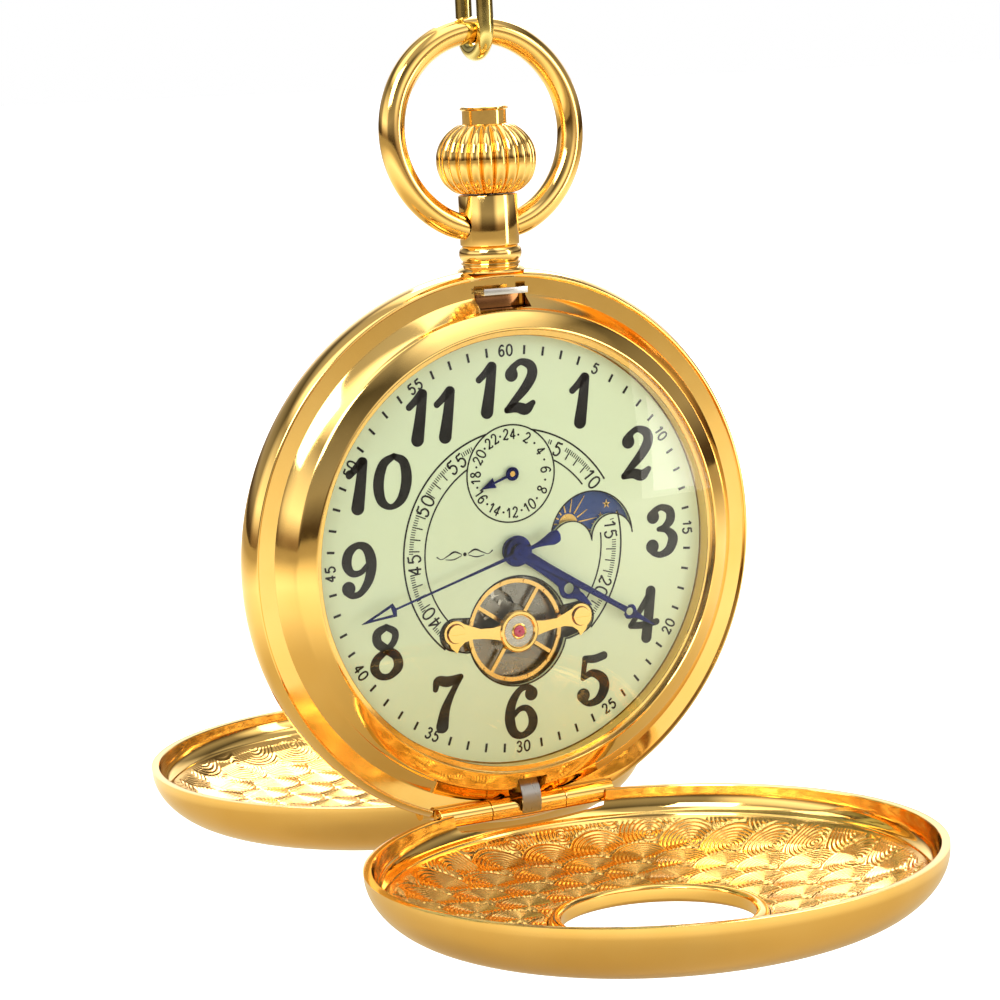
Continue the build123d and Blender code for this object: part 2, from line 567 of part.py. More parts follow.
# Third wheel
third_gear = Gear(THIRD, 64, 0.14167, angle(THIRD, CENTRE))
third = slab(third_gear.outline() - windows(THIRD, 0.95, 3.7, 5, 0.45), 1.30, 1.46)
third = third + centre_gear.mate(THIRD, 8).solid(0.50, 0.72)
third = third + disc(THIRD, 0.42, 0.70, 1.32) + disc(THIRD, 0.15, 0.0, PIVOT_END)
save(third, "third_wheel")

# Fourth wheel, whose arbor carries the second hand
fourth_gear = Gear(CENTRE, 60, 0.15, angle(CENTRE, ESCAPE))
fourth = slab(fourth_gear.outline() - windows(CENTRE, 0.95, 3.8, 5, 0.4, 18), 2.00, 2.14)
fourth = fourth + third_gear.mate(CENTRE, 8).solid(1.22, 1.56)
fourth = fourth + disc(CENTRE, 0.35, 1.54, 2.02) + disc(CENTRE, 0.20, -3.50, 1.30)
save(fourth + disc(CENTRE, 0.14, 2.1, PIVOT_END), "fourth_wheel")

# Escape wheel: each tooth is (radius, degrees from the tooth's station)
ESCAPE_TOOTH = ((1.55, -7.5), (1.55, 2.0), (2.0, 9.5), (2.0, 11.5), (1.62, 8.8))
escape_face = poly([polar(ESCAPE, radius, 24.0 * i + 7.0 + offset)
                    for i in range(15) for radius, offset in ESCAPE_TOOTH])
escape = slab(escape_face - windows(ESCAPE, 0.5, 1.25, 4, 0.22), *ESCAPE_LEVEL)
escape = escape + fourth_gear.mate(ESCAPE, 6).solid(1.94, 2.20)
escape = escape + disc(ESCAPE, 0.15, -1.0, PIVOT_END) + disc(ESCAPE, 0.24, -0.52, 1.96)
save(escape, "escape_wheel")

# Pallet fork: half outline (along, across) the line from the escape wheel to the fork
FORK_HALF = [(-0.3, -0.35), (-0.45, -1.15), (-0.2, -1.15), (0.25, -0.25), (1.05, -0.12),
             (1.1, -0.36), (1.55, -0.36), (1.55, -0.17), (1.25, -0.15)]
along_x, along_z = polar(CENTRE, 1.0, angle(ESCAPE, FORK))
fork_face = poly([(FORK[0] + a * along_x - b * along_z, FORK[1] + a * along_z + b * along_x)
                  for a, b in FORK_HALF + [(a, -b) for a, b in FORK_HALF[::-1]]])
fork = slab(fork_face - Pos(*ESCAPE) * Circle(2.14), *ESCAPE_LEVEL)
fork = fork + disc(FORK, 0.12, -1.0, 0.30) + disc(FORK, 0.28, -0.70, -0.45)
save(fork, "pallet_fork")

# Pallet cock
cock = slab(poly([(-6.75, -4.1), (-6.2, -3.3), (-3.2, -3.1), (-2.35, -3.9), (-0.95, -5.3),
                  (-1.1, -6.15), (-1.75, -6.2), (-3.3, -4.75), (-6.2, -4.75)]), -1.06, -0.78)
cock = cock - bore(ESCAPE, 0.17) - bore(FORK, 0.14) - bore(COCK_SCREW, 0.28)
save(cock + ring(COCK_SCREW, 0.28, 0.55, -0.79, PLATE[0]), "pallet_cock")

# Balance wheel, in front of the plate, with studs on its rim
arms = Circle(0.62)
for i in range(4):
    arms = arms + Rot(0, 0, 55 + 90 * i) * (Pos(2.2, 0) * Rectangle(4.3, 0.34))
balance = (ring(BALANCE, 4.28, 4.66, -1.52, -1.20)
           + slab(Pos(*BALANCE) * arms, -1.44, -1.24) - bore(BALANCE, 0.26))
for i in range(12):
    balance = balance + disc(polar(BALANCE, 4.47, 30 * i + 15), 0.16, -1.60, -1.50)
save(balance, "balance_wheel")

# Balance staff, with its roller and impulse pin, and the hairspring
staff = disc(BALANCE, 0.25, -1.50, -0.40) + disc(BALANCE, 0.13, -2.02, -1.48)
staff = staff + disc(BALANCE, 0.13, -0.42, 0.25) + disc(BALANCE, 0.72, -1.02, -0.88)
impulse_pin = (BALANCE[0] - 0.55 * along_x, BALANCE[1] - 0.55 * along_z)
save(staff + disc(impulse_pin, 0.11, -0.90, -0.46), "balance_staff")
save(spiral(BALANCE, 0.45, 1.75, 6, 0.07, -1.82, -1.66, 24), "hairspring")

# Balance bridge: a ring with two arms; the table is the +X arm (x, z)
BRIDGE_ARM = [
    (1.2, -6.50), (2.6, -6.66), (3.8, -6.60), (4.7, -6.25), (5.4, -5.95), (6.3, -6.0),
    (7.1, -7.2), (6.75, -8.0), (6.2, -8.48), (5.95, -8.0), (5.4, -7.58), (4.6, -7.42),
    (3.6, -7.50), (2.6, -7.70), (1.2, -8.05)]
bridge_face = Pos(*BALANCE) * Circle(1.90)
for side, place in zip((-1, 1), BALANCE_SCREWS):
    bridge_face = bridge_face + poly([(side * x, z) for x, z in BRIDGE_ARM])
    bridge_face = bridge_face + Pos(*place) * Circle(1.12)
balance_bridge = slab(bridge_face - Pos(*BALANCE) * Circle(1.42), -2.32, -1.90)
for place in BALANCE_SCREWS:
    balance_bridge = balance_bridge + disc(place, 0.90, -1.92, PLATE[0]) - bore(place, 0.33)
save(balance_bridge, "balance_bridge")
save(ring(BALANCE, 0.52, 1.41, -2.28, -1.94), "regulator_disc")

# Barrel and train bridges, at the back
outline = Circle(18.0)
upper = outline & (Pos(0, 10.7) * Rectangle(40, 20))
upper = upper - Circle(5.0) - Pos(CLICK[0] + 1.5, CLICK[1] + 1.6) * Circle(2.6)
barrel_bridge = slab(upper, *BRIDGE) - bore(BARREL, 0.53) - disc(BARREL, 1.3, PIVOT_END, 3)
barrel_bridge = barrel_bridge + disc(CROWN_WHEEL, 0.50, 1.30, BRIDGE[0] + 0.1)
for post in BARREL_POSTS:
    barrel_bridge = barrel_bridge - bore(post, POST_HOLE_R)
save(barrel_bridge, "barrel_bridge")
lower = (outline & (Pos(0, -9.9) * Rectangle(40, 20))) + Circle(1.7)
train_bridge = slab(lower - (Pos(0, -12.6) * Circle(2.6)), *BRIDGE)
for post in TRAIN_POSTS:
    train_bridge = train_bridge - bore(post, POST_HOLE_R)
for place in (CENTRE, THIRD, ESCAPE):
    train_bridge = train_bridge - disc(place, 0.80, 2.40, 3) - bore(place, 0.2)
save(train_bridge, "train_bridge")

# Screws
back = BRIDGE[1]
save([screw(place, (0.30, -2.34, 0.2), (0.80, -2.58, -2.33), (0.9, 0.08, -2.7, -2.50))
      for place in BALANCE_SCREWS], "balance_bridge_screws")
save([screw(post, (0.35, 1.0, back + 0.02), (0.78, back + 0.005, back + 0.28),
            (1, 0.09, back + 0.18, back + 0.5))
      for post in BARREL_POSTS + TRAIN_POSTS], "bridge_screws")
save([screw(COCK_SCREW, (0.25, -1.06, 0.2), (0.50, -1.30, -1.065), (0.6, 0.06, -1.4, -1.22)),
      screw(CLICK, (0.36, 1.0, 1.90), (0.70, 1.90, 2.12))], "small_screws")
save([screw(place, (0.35, 0.8, 1.68), (1.95, 1.665, 1.95), (0.09, 2.1, 1.87, 2.1))
      for place in CASE_SCREWS], "case_screws")

# Jewels: one in the regulator disc, three in the train bridge
jewels = [ring(BALANCE, 0.15, 0.51, -2.40, -1.96)]
for place, radius in ((CENTRE, 0.17), (THIRD, 0.18), (ESCAPE, 0.18)):
    jewels.append(ring(place, radius, 0.78, 2.41, 2.72))
save(jewels, "jewels")
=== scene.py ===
# A gold pocket watch with both lids swung open on a hinge at six o'clock.
# The dial lies in the XZ plane and faces -Y; twelve o'clock, the crown and the bow point to +Z
# and three o'clock to +X. The origin is on the dial axis, mid-way through the case.
# Sizes are in millimetres unless a comment says metres; MM turns them into metres.
import bpy
import bmesh
import json
import math
import numpy as np
from mathutils import Vector, Matrix


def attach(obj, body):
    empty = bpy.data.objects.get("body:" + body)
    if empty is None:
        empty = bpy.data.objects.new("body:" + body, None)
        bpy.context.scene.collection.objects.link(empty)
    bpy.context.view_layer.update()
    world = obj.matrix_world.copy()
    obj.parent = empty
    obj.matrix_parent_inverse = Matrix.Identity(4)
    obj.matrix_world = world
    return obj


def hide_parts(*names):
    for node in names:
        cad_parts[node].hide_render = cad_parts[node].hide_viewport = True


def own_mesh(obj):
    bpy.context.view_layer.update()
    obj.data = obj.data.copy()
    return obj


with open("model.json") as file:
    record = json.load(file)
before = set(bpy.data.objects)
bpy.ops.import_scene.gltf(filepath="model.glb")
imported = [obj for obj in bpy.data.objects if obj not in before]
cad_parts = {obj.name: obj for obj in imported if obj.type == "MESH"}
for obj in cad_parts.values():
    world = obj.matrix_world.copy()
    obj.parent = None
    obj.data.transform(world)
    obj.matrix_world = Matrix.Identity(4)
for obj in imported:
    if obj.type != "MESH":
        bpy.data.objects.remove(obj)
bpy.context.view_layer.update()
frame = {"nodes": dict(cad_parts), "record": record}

MM = 0.001
TAU = 2 * math.pi
NODES = frame["nodes"]
SIDES = (("front", 1), ("rear", -1))

HINGE_Y = 1.98            # each lid has its own pin, this far in front of or behind the middle
HINGE_Z = -23.30
KNUCKLE_R = 0.95
KNUCKLE_GAP = 0.12        # clearance cut around a knuckle
PIN_R = 0.42
BALANCE_Z = -7.3          # centre of the round balance opening
DAY_CENTRE = (0.0, 6.9)   # centre of the 24-hour subdial


# ------------------------------------------------------------------ curves in a plane
def smooth_line(points, per=6):
    """Open Catmull-Rom curve with `per` steps between given points."""
    P = [np.array(p, float) for p in points]
    P = [2 * P[0] - P[1]] + P + [2 * P[-1] - P[-2]]
    out = []
    for i in range(1, len(P) - 2):
        before, here, after, beyond = P[i - 1:i + 3]
        for s in range(per):
            t = s / per
            out.append(tuple(0.5 * (
                (2 * here) + (-before + after) * t
                + (2 * before - 5 * here + 4 * after - beyond) * t * t
                + (-before + 3 * here - 3 * after + beyond) * t ** 3)))
    out.append(tuple(P[-2]))
    return out


def polar(radius, degrees, centre=(0, 0)):
    """Dial point: degrees run clockwise from twelve o'clock."""
    a = math.radians(degrees)
    return (centre[0] + radius * math.sin(a), centre[1] + radius * math.cos(a))


def arc(centre, radius, start, end, count):
    """Points of an arc; degrees run counter-clockwise from +X."""
    return [(centre[0] + radius * math.cos(a), centre[1] + radius * math.sin(a))
            for a in np.linspace(math.radians(start), math.radians(end), count)]


def circle(radius, count, z=0):
    return [(radius * math.cos(TAU * i / count), z + radius * math.sin(TAU * i / count))
            for i in range(count)]


def mirror(points):
    return [(-x, z) for x, z in points]


def on_side(outline, side):
    """(radius, depth) outline to (radius, y): depth runs to -Y at the front, +Y at the rear."""
    return [(r, -side * depth) for r, depth in outline]


# ------------------------------------------------------------------ mesh helpers
def add_object(name, data):
    ob = bpy.data.objects.new(name, data)
    bpy.context.scene.collection.objects.link(ob)
    return ob


def shade(mesh, crease):
    """Smooth shading, broken at edges sharper than crease (degrees)."""
    mesh.polygons.foreach_set("use_smooth", [True] * len(mesh.polygons))
    if crease is not None:
        mesh.set_sharp_from_angle(angle=math.radians(crease))


def tidy(mesh, merge=None):
    """Merges close points (distance in metres) and turns all normals outward."""
    bm = bmesh.new()
    bm.from_mesh(mesh)
    if merge:
        bmesh.ops.remove_doubles(bm, verts=bm.verts, dist=merge)
    bmesh.ops.recalc_face_normals(bm, faces=bm.faces)
    bm.to_mesh(mesh)
    bm.free()


def mesh_obj(name, verts, faces, material=None, crease=None, unit=MM):
    mesh = bpy.data.meshes.new(name)
    mesh.from_pydata([tuple(c * unit for c in v) for v in verts], [], faces)
    mesh.validate()
    mesh.update()
    shade(mesh, crease)
    if material:
        mesh.materials.append(material)
    return add_object(name, mesh)


def grid_faces(rings, around, closed, base=0):
    """Quads between rings of `around` points; closed joins the last ring to the first."""
    faces = []
    for i in range(rings if closed else rings - 1):
        row, after = base + i * around, base + (i + 1) % rings * around
        for j in range(around):
            j2 = (j + 1) % around
            faces.append((row + j, row + j2, after + j2, after + j))
    return faces


def turned(name, outline, material, axis="Y", segments=256, crease=28.0, reshape=None):
    """Closed (radius, height) outline turned about an axis; reshape alters radius by angle."""
    verts = []
    for i in range(segments):
        a = TAU * i / segments
        for r, height in outline:
            if reshape:
                r = reshape(r, height, a)
            if axis == "Y":
                verts.append((r * math.sin(a), height, r * math.cos(a)))
            else:
                verts.append((r * math.cos(a), r * math.sin(a), height))
    ob = mesh_obj(name, verts, grid_faces(segments, len(outline), True), material)
    tidy(ob.data, merge=1e-7)
    shade(ob.data, crease)
    return ob


def tube(name, path, radii, material, segments, closed=False):
    """Round tube along a list of points, one radius for each point."""
    points = [Vector(p) * MM for p in path]
    count = len(points)
    verts = []
    up = None
    for i, point in enumerate(points):
        if closed:
            along = (points[(i + 1) % count] - points[i - 1]).normalized()
        else:
            along = (points[min(i + 1, count - 1)] - points[max(i - 1, 0)]).normalized()
        if up is None:
            up = along.orthogonal().normalized()
        up = (up - along * up.dot(along)).normalized()
        side = along.cross(up)
        for k in range(segments):
            a = TAU * k / segments
            verts.append(point + (up * math.cos(a) + side * math.sin(a)) * (radii[i] * MM))
    faces = grid_faces(count, segments, closed)
    if not closed:
        faces.append(tuple(range(segments)))
        faces.append(tuple((count - 1) * segments + k for k in range(segments))[::-1])
    ob = mesh_obj(name, verts, faces, material, 40, unit=1)
    tidy(ob.data)
    return ob


def square_bar(name, sections, material=None, crease=None):
    """Solid through a row of four-cornered sections."""
    last = (len(sections) - 1) * 4
    faces = grid_faces(len(sections), 4, False)
    faces += [(0, 1, 2, 3), (last + 3, last + 2, last + 1, last)]
    ob = mesh_obj(name, [corner for section in sections for corner in section], faces,
                  material, crease)
    tidy(ob.data)
    return ob


def block(x0, x1, y0, y1, z0, z1):
    verts = [(x, y, z) for x in (x0, x1) for y in (y0, y1) for z in (z0, z1)]
    faces = [(0, 1, 3, 2), (4, 6, 7, 5), (0, 4, 5, 1), (2, 3, 7, 6), (0, 2, 6, 4), (1, 5, 7, 3)]
    ob = mesh_obj("tool", verts, faces)
    tidy(ob.data)
    return ob


def rod_x(y, z, radius, x0, x1, segments=64):
    """Round rod parallel to the X axis."""
    verts = []
    for x in (x0, x1):
        for k in range(segments):
            a = TAU * k / segments
            verts.append((x, y + radius * math.cos(a), z + radius * math.sin(a)))
    faces = grid_faces(2, segments, False)
    faces += [tuple(range(segments))[::-1], tuple(range(segments, 2 * segments))]
    ob = mesh_obj("tool", verts, faces)
    tidy(ob.data)
    return ob


def evaluated_mesh(ob):
    bpy.context.view_layer.update()
    return bpy.data.meshes.new_from_object(
        ob.evaluated_get(bpy.context.evaluated_depsgraph_get()))


def cut(ob, tools):
    """Cuts closed tool meshes out of ob and deletes the tools."""
    for tool in tools:
        boolean = ob.modifiers.new("c", "BOOLEAN")
        boolean.operation = "DIFFERENCE"
        boolean.solver = "EXACT"
        boolean.object = tool
    mesh = evaluated_mesh(ob)
    ob.modifiers.clear()
    ob.data = mesh
    for tool in tools:
        bpy.data.objects.remove(tool)
    shade(mesh, 28)


def add_bevel(ob, width, segments=2):
    bevel = ob.modifiers.new("bev", "BEVEL")
    bevel.width = width * MM
    bevel.segments = segments
    bevel.limit_method = "ANGLE"
    return bevel


def put(ob, body, node=None):
    """Fixes ob to a moving body and the frame piece it replaces."""
    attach(ob, body)
    if node:
        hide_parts(node)


# ------------------------------------------------------------------ shader helpers
def feed(node, inputs):
    """Fills inputs by name or index: a socket is linked, anything else is set as the value."""
    for key, value in inputs.items():
        if isinstance(value, bpy.types.NodeSocket):
            node.id_data.links.new(value, node.inputs[key])
        else:
            node.inputs[key].default_value = value


def add_node(tree, kind, inputs=None, **settings):
    node = tree.nodes.new("ShaderNode" + kind)
    for key, value in settings.items():
        setattr(node, key, value)
    feed(node, inputs or {})
    return node


def remap(tree, value, low, high, start=0.3, end=0.7):
    """Maps value from start..end to low..high."""
    return add_node(tree, "MapRange", {
        "From Min": start, "From Max": end, "To Min": low, "To Max": high,
        "Value": value}).outputs["Result"]


def colour_ramp(tree, factor, stops):
    """Ramp through (position, colour) stops, the first at 0 and the last at 1."""
    node = add_node(tree, "ValToRGB", {"Fac": factor})
    elements = node.color_ramp.elements
    elements[0].color = (*stops[0][1], 1)
    elements[1].color = (*stops[-1][1], 1)
    for position, colour in stops[1:-1]:
        elements.new(position).color = (*colour, 1)
    return node.outputs["Color"]


class Look:
    """One material with its node tree, Principled shader and object coordinates."""

    def __init__(self, name):
        self.material = bpy.data.materials.new(name)
        self.material.use_nodes = True
        self.tree = self.material.node_tree
        self.surface = self.tree.nodes["Principled BSDF"]
        self.coords = self.add("TexCoord").outputs["Object"]

    def add(self, kind, inputs=None, **settings):
        return add_node(self.tree, kind, inputs, **settings)

    def noise(self, scale, detail, roughness=0.55, stretch=None):
        node = self.add("TexNoise", {"Scale": scale, "Detail": detail, "Roughness": roughness})
        vector = self.coords
        if stretch:
            vector = self.add("Mapping", {"Scale": stretch, "Vector": vector}).outputs["Vector"]
        feed(node, {"Vector": vector})
        return node.outputs["Fac"]

    def wave(self, inputs, **settings):
        return self.add("TexWave", {**inputs, "Vector": self.coords}, **settings).outputs["Fac"]

    def blend(self, factor, colours):
        return self.add("Mix", {"A": (*colours[0], 1), "B": (*colours[1], 1), "Factor": factor},
                        data_type="RGBA").outputs["Result"]

    def drift(self, noise, colours):
        """Base colour wanders between two colours with the noise."""
        feed(self.surface, {"Base Color": self.blend(remap(self.tree, noise, 0, 1), colours)})

    def rub(self, noise, low, high, **span):
        """Roughness follows the noise between low and high."""
        feed(self.surface, {"Roughness": remap(self.tree, noise, low, high, **span)})

    def bump(self, height, strength, distance=0.00002):
        """Distance is in metres."""
        node = self.add("Bump", {"Strength": strength, "Distance": distance, "Height": height})
        feed(self.surface, {"Normal": node.outputs["Normal"]})


# ------------------------------------------------------------------ materials
def metal(name, colours, rough, bump=0.06, scale=260.0, grain=None, rings=None):
    """Worn metal: slow colour drift and fine rubbed haze. Grain stretches the haze;
    rings is the scale of turned lines about the Y axis."""
    look = Look(name)
    feed(look.surface, {"Metallic": 1.0})
    look.drift(look.noise(scale=90, detail=3), colours)
    fine = look.noise(scale=scale, detail=6, roughness=0.7, stretch=grain)
    look.rub(fine, *rough, start=0.35, end=0.7)
    if rings:
        fine = look.wave({"Scale": rings, "Distortion": 0.6, "Detail": 3},
                         wave_type="RINGS", rings_direction="Y")
    look.bump(fine, bump)
    return look.material


def striped_nickel():
    look = Look("striped_nickel")
    feed(look.surface, {"Metallic": 1.0})
    stripes = look.wave({"Scale": 130}, wave_type="BANDS", bands_direction="DIAGONAL")
    fine = look.noise(scale=500, detail=6, roughness=0.7, stretch=(1, 1, 1))
    stripe_colours = ((0.50, 0.49, 0.47), (0.78, 0.77, 0.74))
    feed(look.surface, {"Base Color": look.blend(stripes, stripe_colours)})
    look.rub(fine, low=0.16, high=0.32)
    look.bump(stripes, strength=0.25, distance=0.00008)
    return look.material


def enamel():
    look = Look("dial_enamel")
    look.drift(look.noise(scale=120, detail=5), ((0.82, 0.92, 0.595), (0.85, 0.945, 0.635)))
    fine = look.noise(scale=2600, detail=4)
    look.rub(fine, low=0.34, high=0.46)
    look.bump(fine, strength=0.05)
    feed(look.surface, {"Coat Weight": 0.25, "Coat Roughness": 0.12})
    return look.material


def paint(name, colours, rough, coat=0.0):
    look = Look(name)
    noise = look.noise(scale=900, detail=5)
    look.drift(noise, colours)
    look.rub(noise, low=rough * 0.85, high=rough * 1.2)
    look.bump(noise, strength=0.08)
    feed(look.surface, {"Coat Weight": coat, "Specular IOR Level": 0.25})
    return look.material


def crystal():
    """Clear pane: transparent with a weakened Fresnel reflection, and no refraction."""
    look = Look("crystal")
    look.tree.nodes.remove(look.surface)
    gloss = look.add("BsdfGlossy")
    clear = look.add("BsdfTransparent", {"Color": (0.985, 0.99, 0.98, 1)})
    fresnel = look.add("Fresnel", {"IOR": 1.42})
    smear = look.noise(scale=700, detail=5)
    feed(gloss, {"Roughness": remap(look.tree, smear, low=0.002, high=0.03)})
    weaker = look.add("Math", {0: fresnel.outputs["Fac"], 1: 0.65}, operation="MULTIPLY")
    mixed = look.add("MixShader", {"Fac": weaker.outputs[0], 1: clear.outputs[0],
                                   2: gloss.outputs[0]})
    feed(look.tree.nodes["Material Output"], {"Surface": mixed.outputs[0]})
    return look.material


def ruby():
    look = Look("ruby")
    noise = look.noise(scale=1500, detail=3)
    look.drift(noise, ((0.55, 0.0, 0.06), (0.78, 0.02, 0.14)))
    look.rub(noise, low=0.04, high=0.10)
    feed(look.surface, {"Coat Weight": 1.0})
    return look.material


GOLD = metal("gold", colours=((0.90, 0.56, 0.15), (0.95, 0.63, 0.21)),
             rough=(0.05, 0.13), bump=0.015)
GOLD_SATIN = metal("gold_satin", colours=((0.62, 0.40, 0.12), (0.74, 0.50, 0.18)),
                   rough=(0.22, 0.36), bump=0.22, rings=2600)
GOLD_ENGRAVED = metal("gold_engraved", colours=((0.80, 0.46, 0.12), (0.88, 0.54, 0.17)),
                      rough=(0.11, 0.17), bump=0.012, scale=900)
PALE = metal("pale_gold", colours=((0.72, 0.58, 0.16), (0.82, 0.68, 0.26)),
             rough=(0.07, 0.17), bump=0.03)
STEEL = metal("steel", colours=((0.46, 0.45, 0.44), (0.60, 0.59, 0.57)),
              rough=(0.20, 0.38), bump=0.15, grain=(1, 1, 14))
SPRING = metal("spring_steel", colours=((0.26, 0.24, 0.22), (0.42, 0.40, 0.37)),
               rough=(0.24, 0.42), bump=0.2, grain=(10, 1, 1))
BRASS = metal("wheel_brass", colours=((0.78, 0.47, 0.14), (0.86, 0.56, 0.20)),
              rough=(0.12, 0.24))
NICKEL = metal("nickel", colours=((0.20, 0.195, 0.185), (0.30, 0.29, 0.27)),
               rough=(0.22, 0.38), bump=0.08)
BLUE = metal("blued_steel", colours=((0.006, 0.010, 0.085), (0.012, 0.022, 0.17)),
             rough=(0.16, 0.30), bump=0.03)
# Painted shade: dark brown that stands in for the shade in recesses. It is used on the catch
# plate in its pocket and on the screw grooves, which are really gold.
RECESS_SHADE = metal("painted_recess_shade", colours=((0.20, 0.085, 0.03), (0.32, 0.15, 0.06)),
               rough=(0.10, 0.22), bump=0.05)
STRIPED = striped_nickel()
DIAL = enamel()
INK = paint("dial_ink", colours=((0.006, 0.007, 0.008), (0.018, 0.018, 0.018)), rough=0.38)
MOON_BLUE = paint("moon_lacquer", colours=((0.018, 0.050, 0.20), (0.03, 0.08, 0.28)),
                  rough=0.3, coat=0.4)
CRYSTAL = crystal()
RUBY = ruby()

BY_SLOT = {
    "gold": GOLD, "gold_satin": GOLD_SATIN, "gold_engraved": GOLD_ENGRAVED, "pale_gold": PALE,
    "crystal": CRYSTAL, "dial": DIAL, "blue_steel": BLUE, "steel": STEEL,
    "spring_steel": SPRING, "nickel": NICKEL, "brass": BRASS, "ruby": RUBY,
    "moon_disc": MOON_BLUE}
node_slot = {s["node"]: s["material_slot"] for s in frame["record"]["subparts"]}
for name, ob in NODES.items():
    material = BY_SLOT[node_slot[name]]
    if name in ("barrel_bridge", "train_bridge"):
        material = STRIPED
    ob.data.materials.clear()
    ob.data.materials.append(material)

# ------------------------------------------------------------------ case band and its knuckles
CASE_KNUCKLE_HALF = 3.70                               # half length of the middle knuckle
LID_KNUCKLE_SPANS = ((-9.1, -3.72), (3.72, 9.1))       # x ranges cleared for the lid knuckles

# (radius, y): the rounded outer edge, rear to front symmetric
BAND_EDGE = [(24.34, -1.74), (24.50, -1.68), (24.74, -1.28), (24.93, -0.72), (25.0, 0.0),
             (24.93, 0.72), (24.74, 1.28), (24.50, 1.68), (24.34, 1.74)]
BAND = ([(18.8, -1.65), (20.9, -1.65), (20.9, -1.5), (24.20, -1.5), (24.25, -1.53),
         (24.27, -1.70)] + smooth_line(BAND_EDGE, 5)
        + [(24.27, 1.70), (24.25, 1.53), (24.20, 1.5), (20.9, 1.5), (20.9, 1.65),
           (18.8, 1.65)])
# Pockets at twelve o'clock and, in the bezel, at six: x0, x1, y0, y1, z0, z1
BAND_POCKET = (-2.5, 2.5, -1.8, -0.6, 19.4, 23.75)
BEZEL_TOP_POCKET = (-2.5, 2.5, -3.35, -1.2, 21.55, 23.5)
BEZEL_LOW_POCKET = (-1.45, 1.45, -3.7, -1.2, -23.5, -20.35)


def knuckle_clearances(y):
    return [rod_x(y, HINGE_Z, KNUCKLE_R + KNUCKLE_GAP, *span) for span in LID_KNUCKLE_SPANS]


def knuckle(name, y, x0, x1, bore_half, bevel):
    """Hinge barrel bored for the pin."""
    ob = rod_x(y, HINGE_Z, KNUCKLE_R, x0, x1, 72)
    ob.name = name
    cut(ob, [rod_x(y, HINGE_Z, PIN_R, -bore_half, bore_half, 48)])
    ob.data.materials.append(GOLD)
    add_bevel(ob, bevel)
    return ob


band = turned("case_band", BAND, GOLD, segments=360)
cut(band, knuckle_clearances(-HINGE_Y) + knuckle_clearances(HINGE_Y) + [block(*BAND_POCKET)])
put(band, "case", "mid_case")
for name, side in SIDES:
    barrel = knuckle("case_knuckle_" + name, -side * HINGE_Y, -CASE_KNUCKLE_HALF,
                     CASE_KNUCKLE_HALF, bore_half=3.9, bevel=0.06)
    put(barrel, "case")

# ------------------------------------------------------------------ bezels and crystals
# (radius, depth from the middle of the case): up the bore, over the crest, down the flank
BEZEL = [(19.2, 1.66), (19.2, 3.36), (19.25, 3.40), (19.72, 3.42), (19.72, 3.93),
         (19.76, 3.98), (19.86, 3.98), (19.98, 3.92), (20.5, 3.64), (21.18, 3.27),
         (21.34, 3.16), (21.44, 3.04), (21.50, 2.90), (21.62, 2.72), (22.55, 1.66),
         (22.74, 1.51), (20.93, 1.51), (20.93, 1.66)]
CRYSTAL_RISE = {"front": (1.6, 1.25), "rear": (0.9, 0.75)}   # dome height outside, inside
CRYSTAL_STEPS = 30
CRYSTAL_SEAT = 3.44                                          # depth of the pane's inner edge


def dome(radius, edge_depth, rise):
    """(radius, depth) points of a shallow dome from its edge to its middle."""
    points = []
    for i in range(CRYSTAL_STEPS + 1):
        out = 1 - i / CRYSTAL_STEPS
        points.append((radius * out, edge_depth + rise * (1 - out ** 2)))
    return points


for name, side in SIDES:
    bezel = turned(name + "_bezel_ring", on_side(BEZEL, side), GOLD, segments=360)
    hinge_y = -side * HINGE_Y
    tools = knuckle_clearances(hinge_y)
    tools.append(rod_x(hinge_y, HINGE_Z, KNUCKLE_R + 0.05, -4, 4))
    if name == "front":
        tools += [block(*BEZEL_TOP_POCKET), block(*BEZEL_LOW_POCKET)]
    cut(bezel, tools)
    put(bezel, "case", name + "_bezel")
    rise_out, rise_in = CRYSTAL_RISE[name]
    pane_outline = ([(19.66, CRYSTAL_SEAT)] + dome(19.7, 3.90, rise_out)
                    + dome(19.0, CRYSTAL_SEAT, rise_in)[::-1])
    pane = turned(name + "_glass", on_side(pane_outline, side), CRYSTAL)
    put(pane, "case", name + "_crystal")

# ------------------------------------------------------------------ lids with an embossed floor
# (radius, depth) with the lid closed; the front lid has a round window in the middle
LID_OUTSIDE = smooth_line([
    (24.2, 1.62), (24.18, 2.10), (24.12, 2.60), (23.91, 3.30), (23.55, 4.00), (23.06, 4.66),
    (22.44, 5.28), (21.72, 5.83), (20.9, 6.29), (20.0, 6.67), (19.0, 6.98), (18.0, 7.20),
    (17.0, 7.37), (15.0, 7.62), (13.0, 7.80), (11.0, 7.94)], 3)
LID_WALL = smooth_line([(22.55, 4.12), (22.62, 3.98), (22.95, 3.72), (23.22, 3.30),
                        (23.40, 2.60), (23.45, 1.70)], 4)
LID_RIM = [(23.50, 1.62), (23.60, 1.60), (24.08, 1.60)]
WINDOW_LIP = smooth_line([
    (9.9, 8.00), (9.75, 8.10), (9.60, 8.32), (9.25, 8.48), (8.85, 8.50), (8.45, 8.38),
    (8.15, 8.15), (8.1, 8.0), (8.1, 7.2), (8.14, 7.05), (8.28, 6.90), (8.55, 6.82),
    (8.9, 6.88), (9.12, 7.08), (9.22, 7.38)], 3) + [(9.3, 7.50)]
SOLID_MIDDLE = [(8.0, 8.06), (4.0, 8.17), (0.0, 8.20), (0.0, 7.66), (4.0, 7.65), (8.0, 7.58)]
SHELL_INSIDE = [(11.0, 7.42), (15.0, 7.08), (18.5, 6.5), (21.2, 5.42), (22.45, 4.35)]
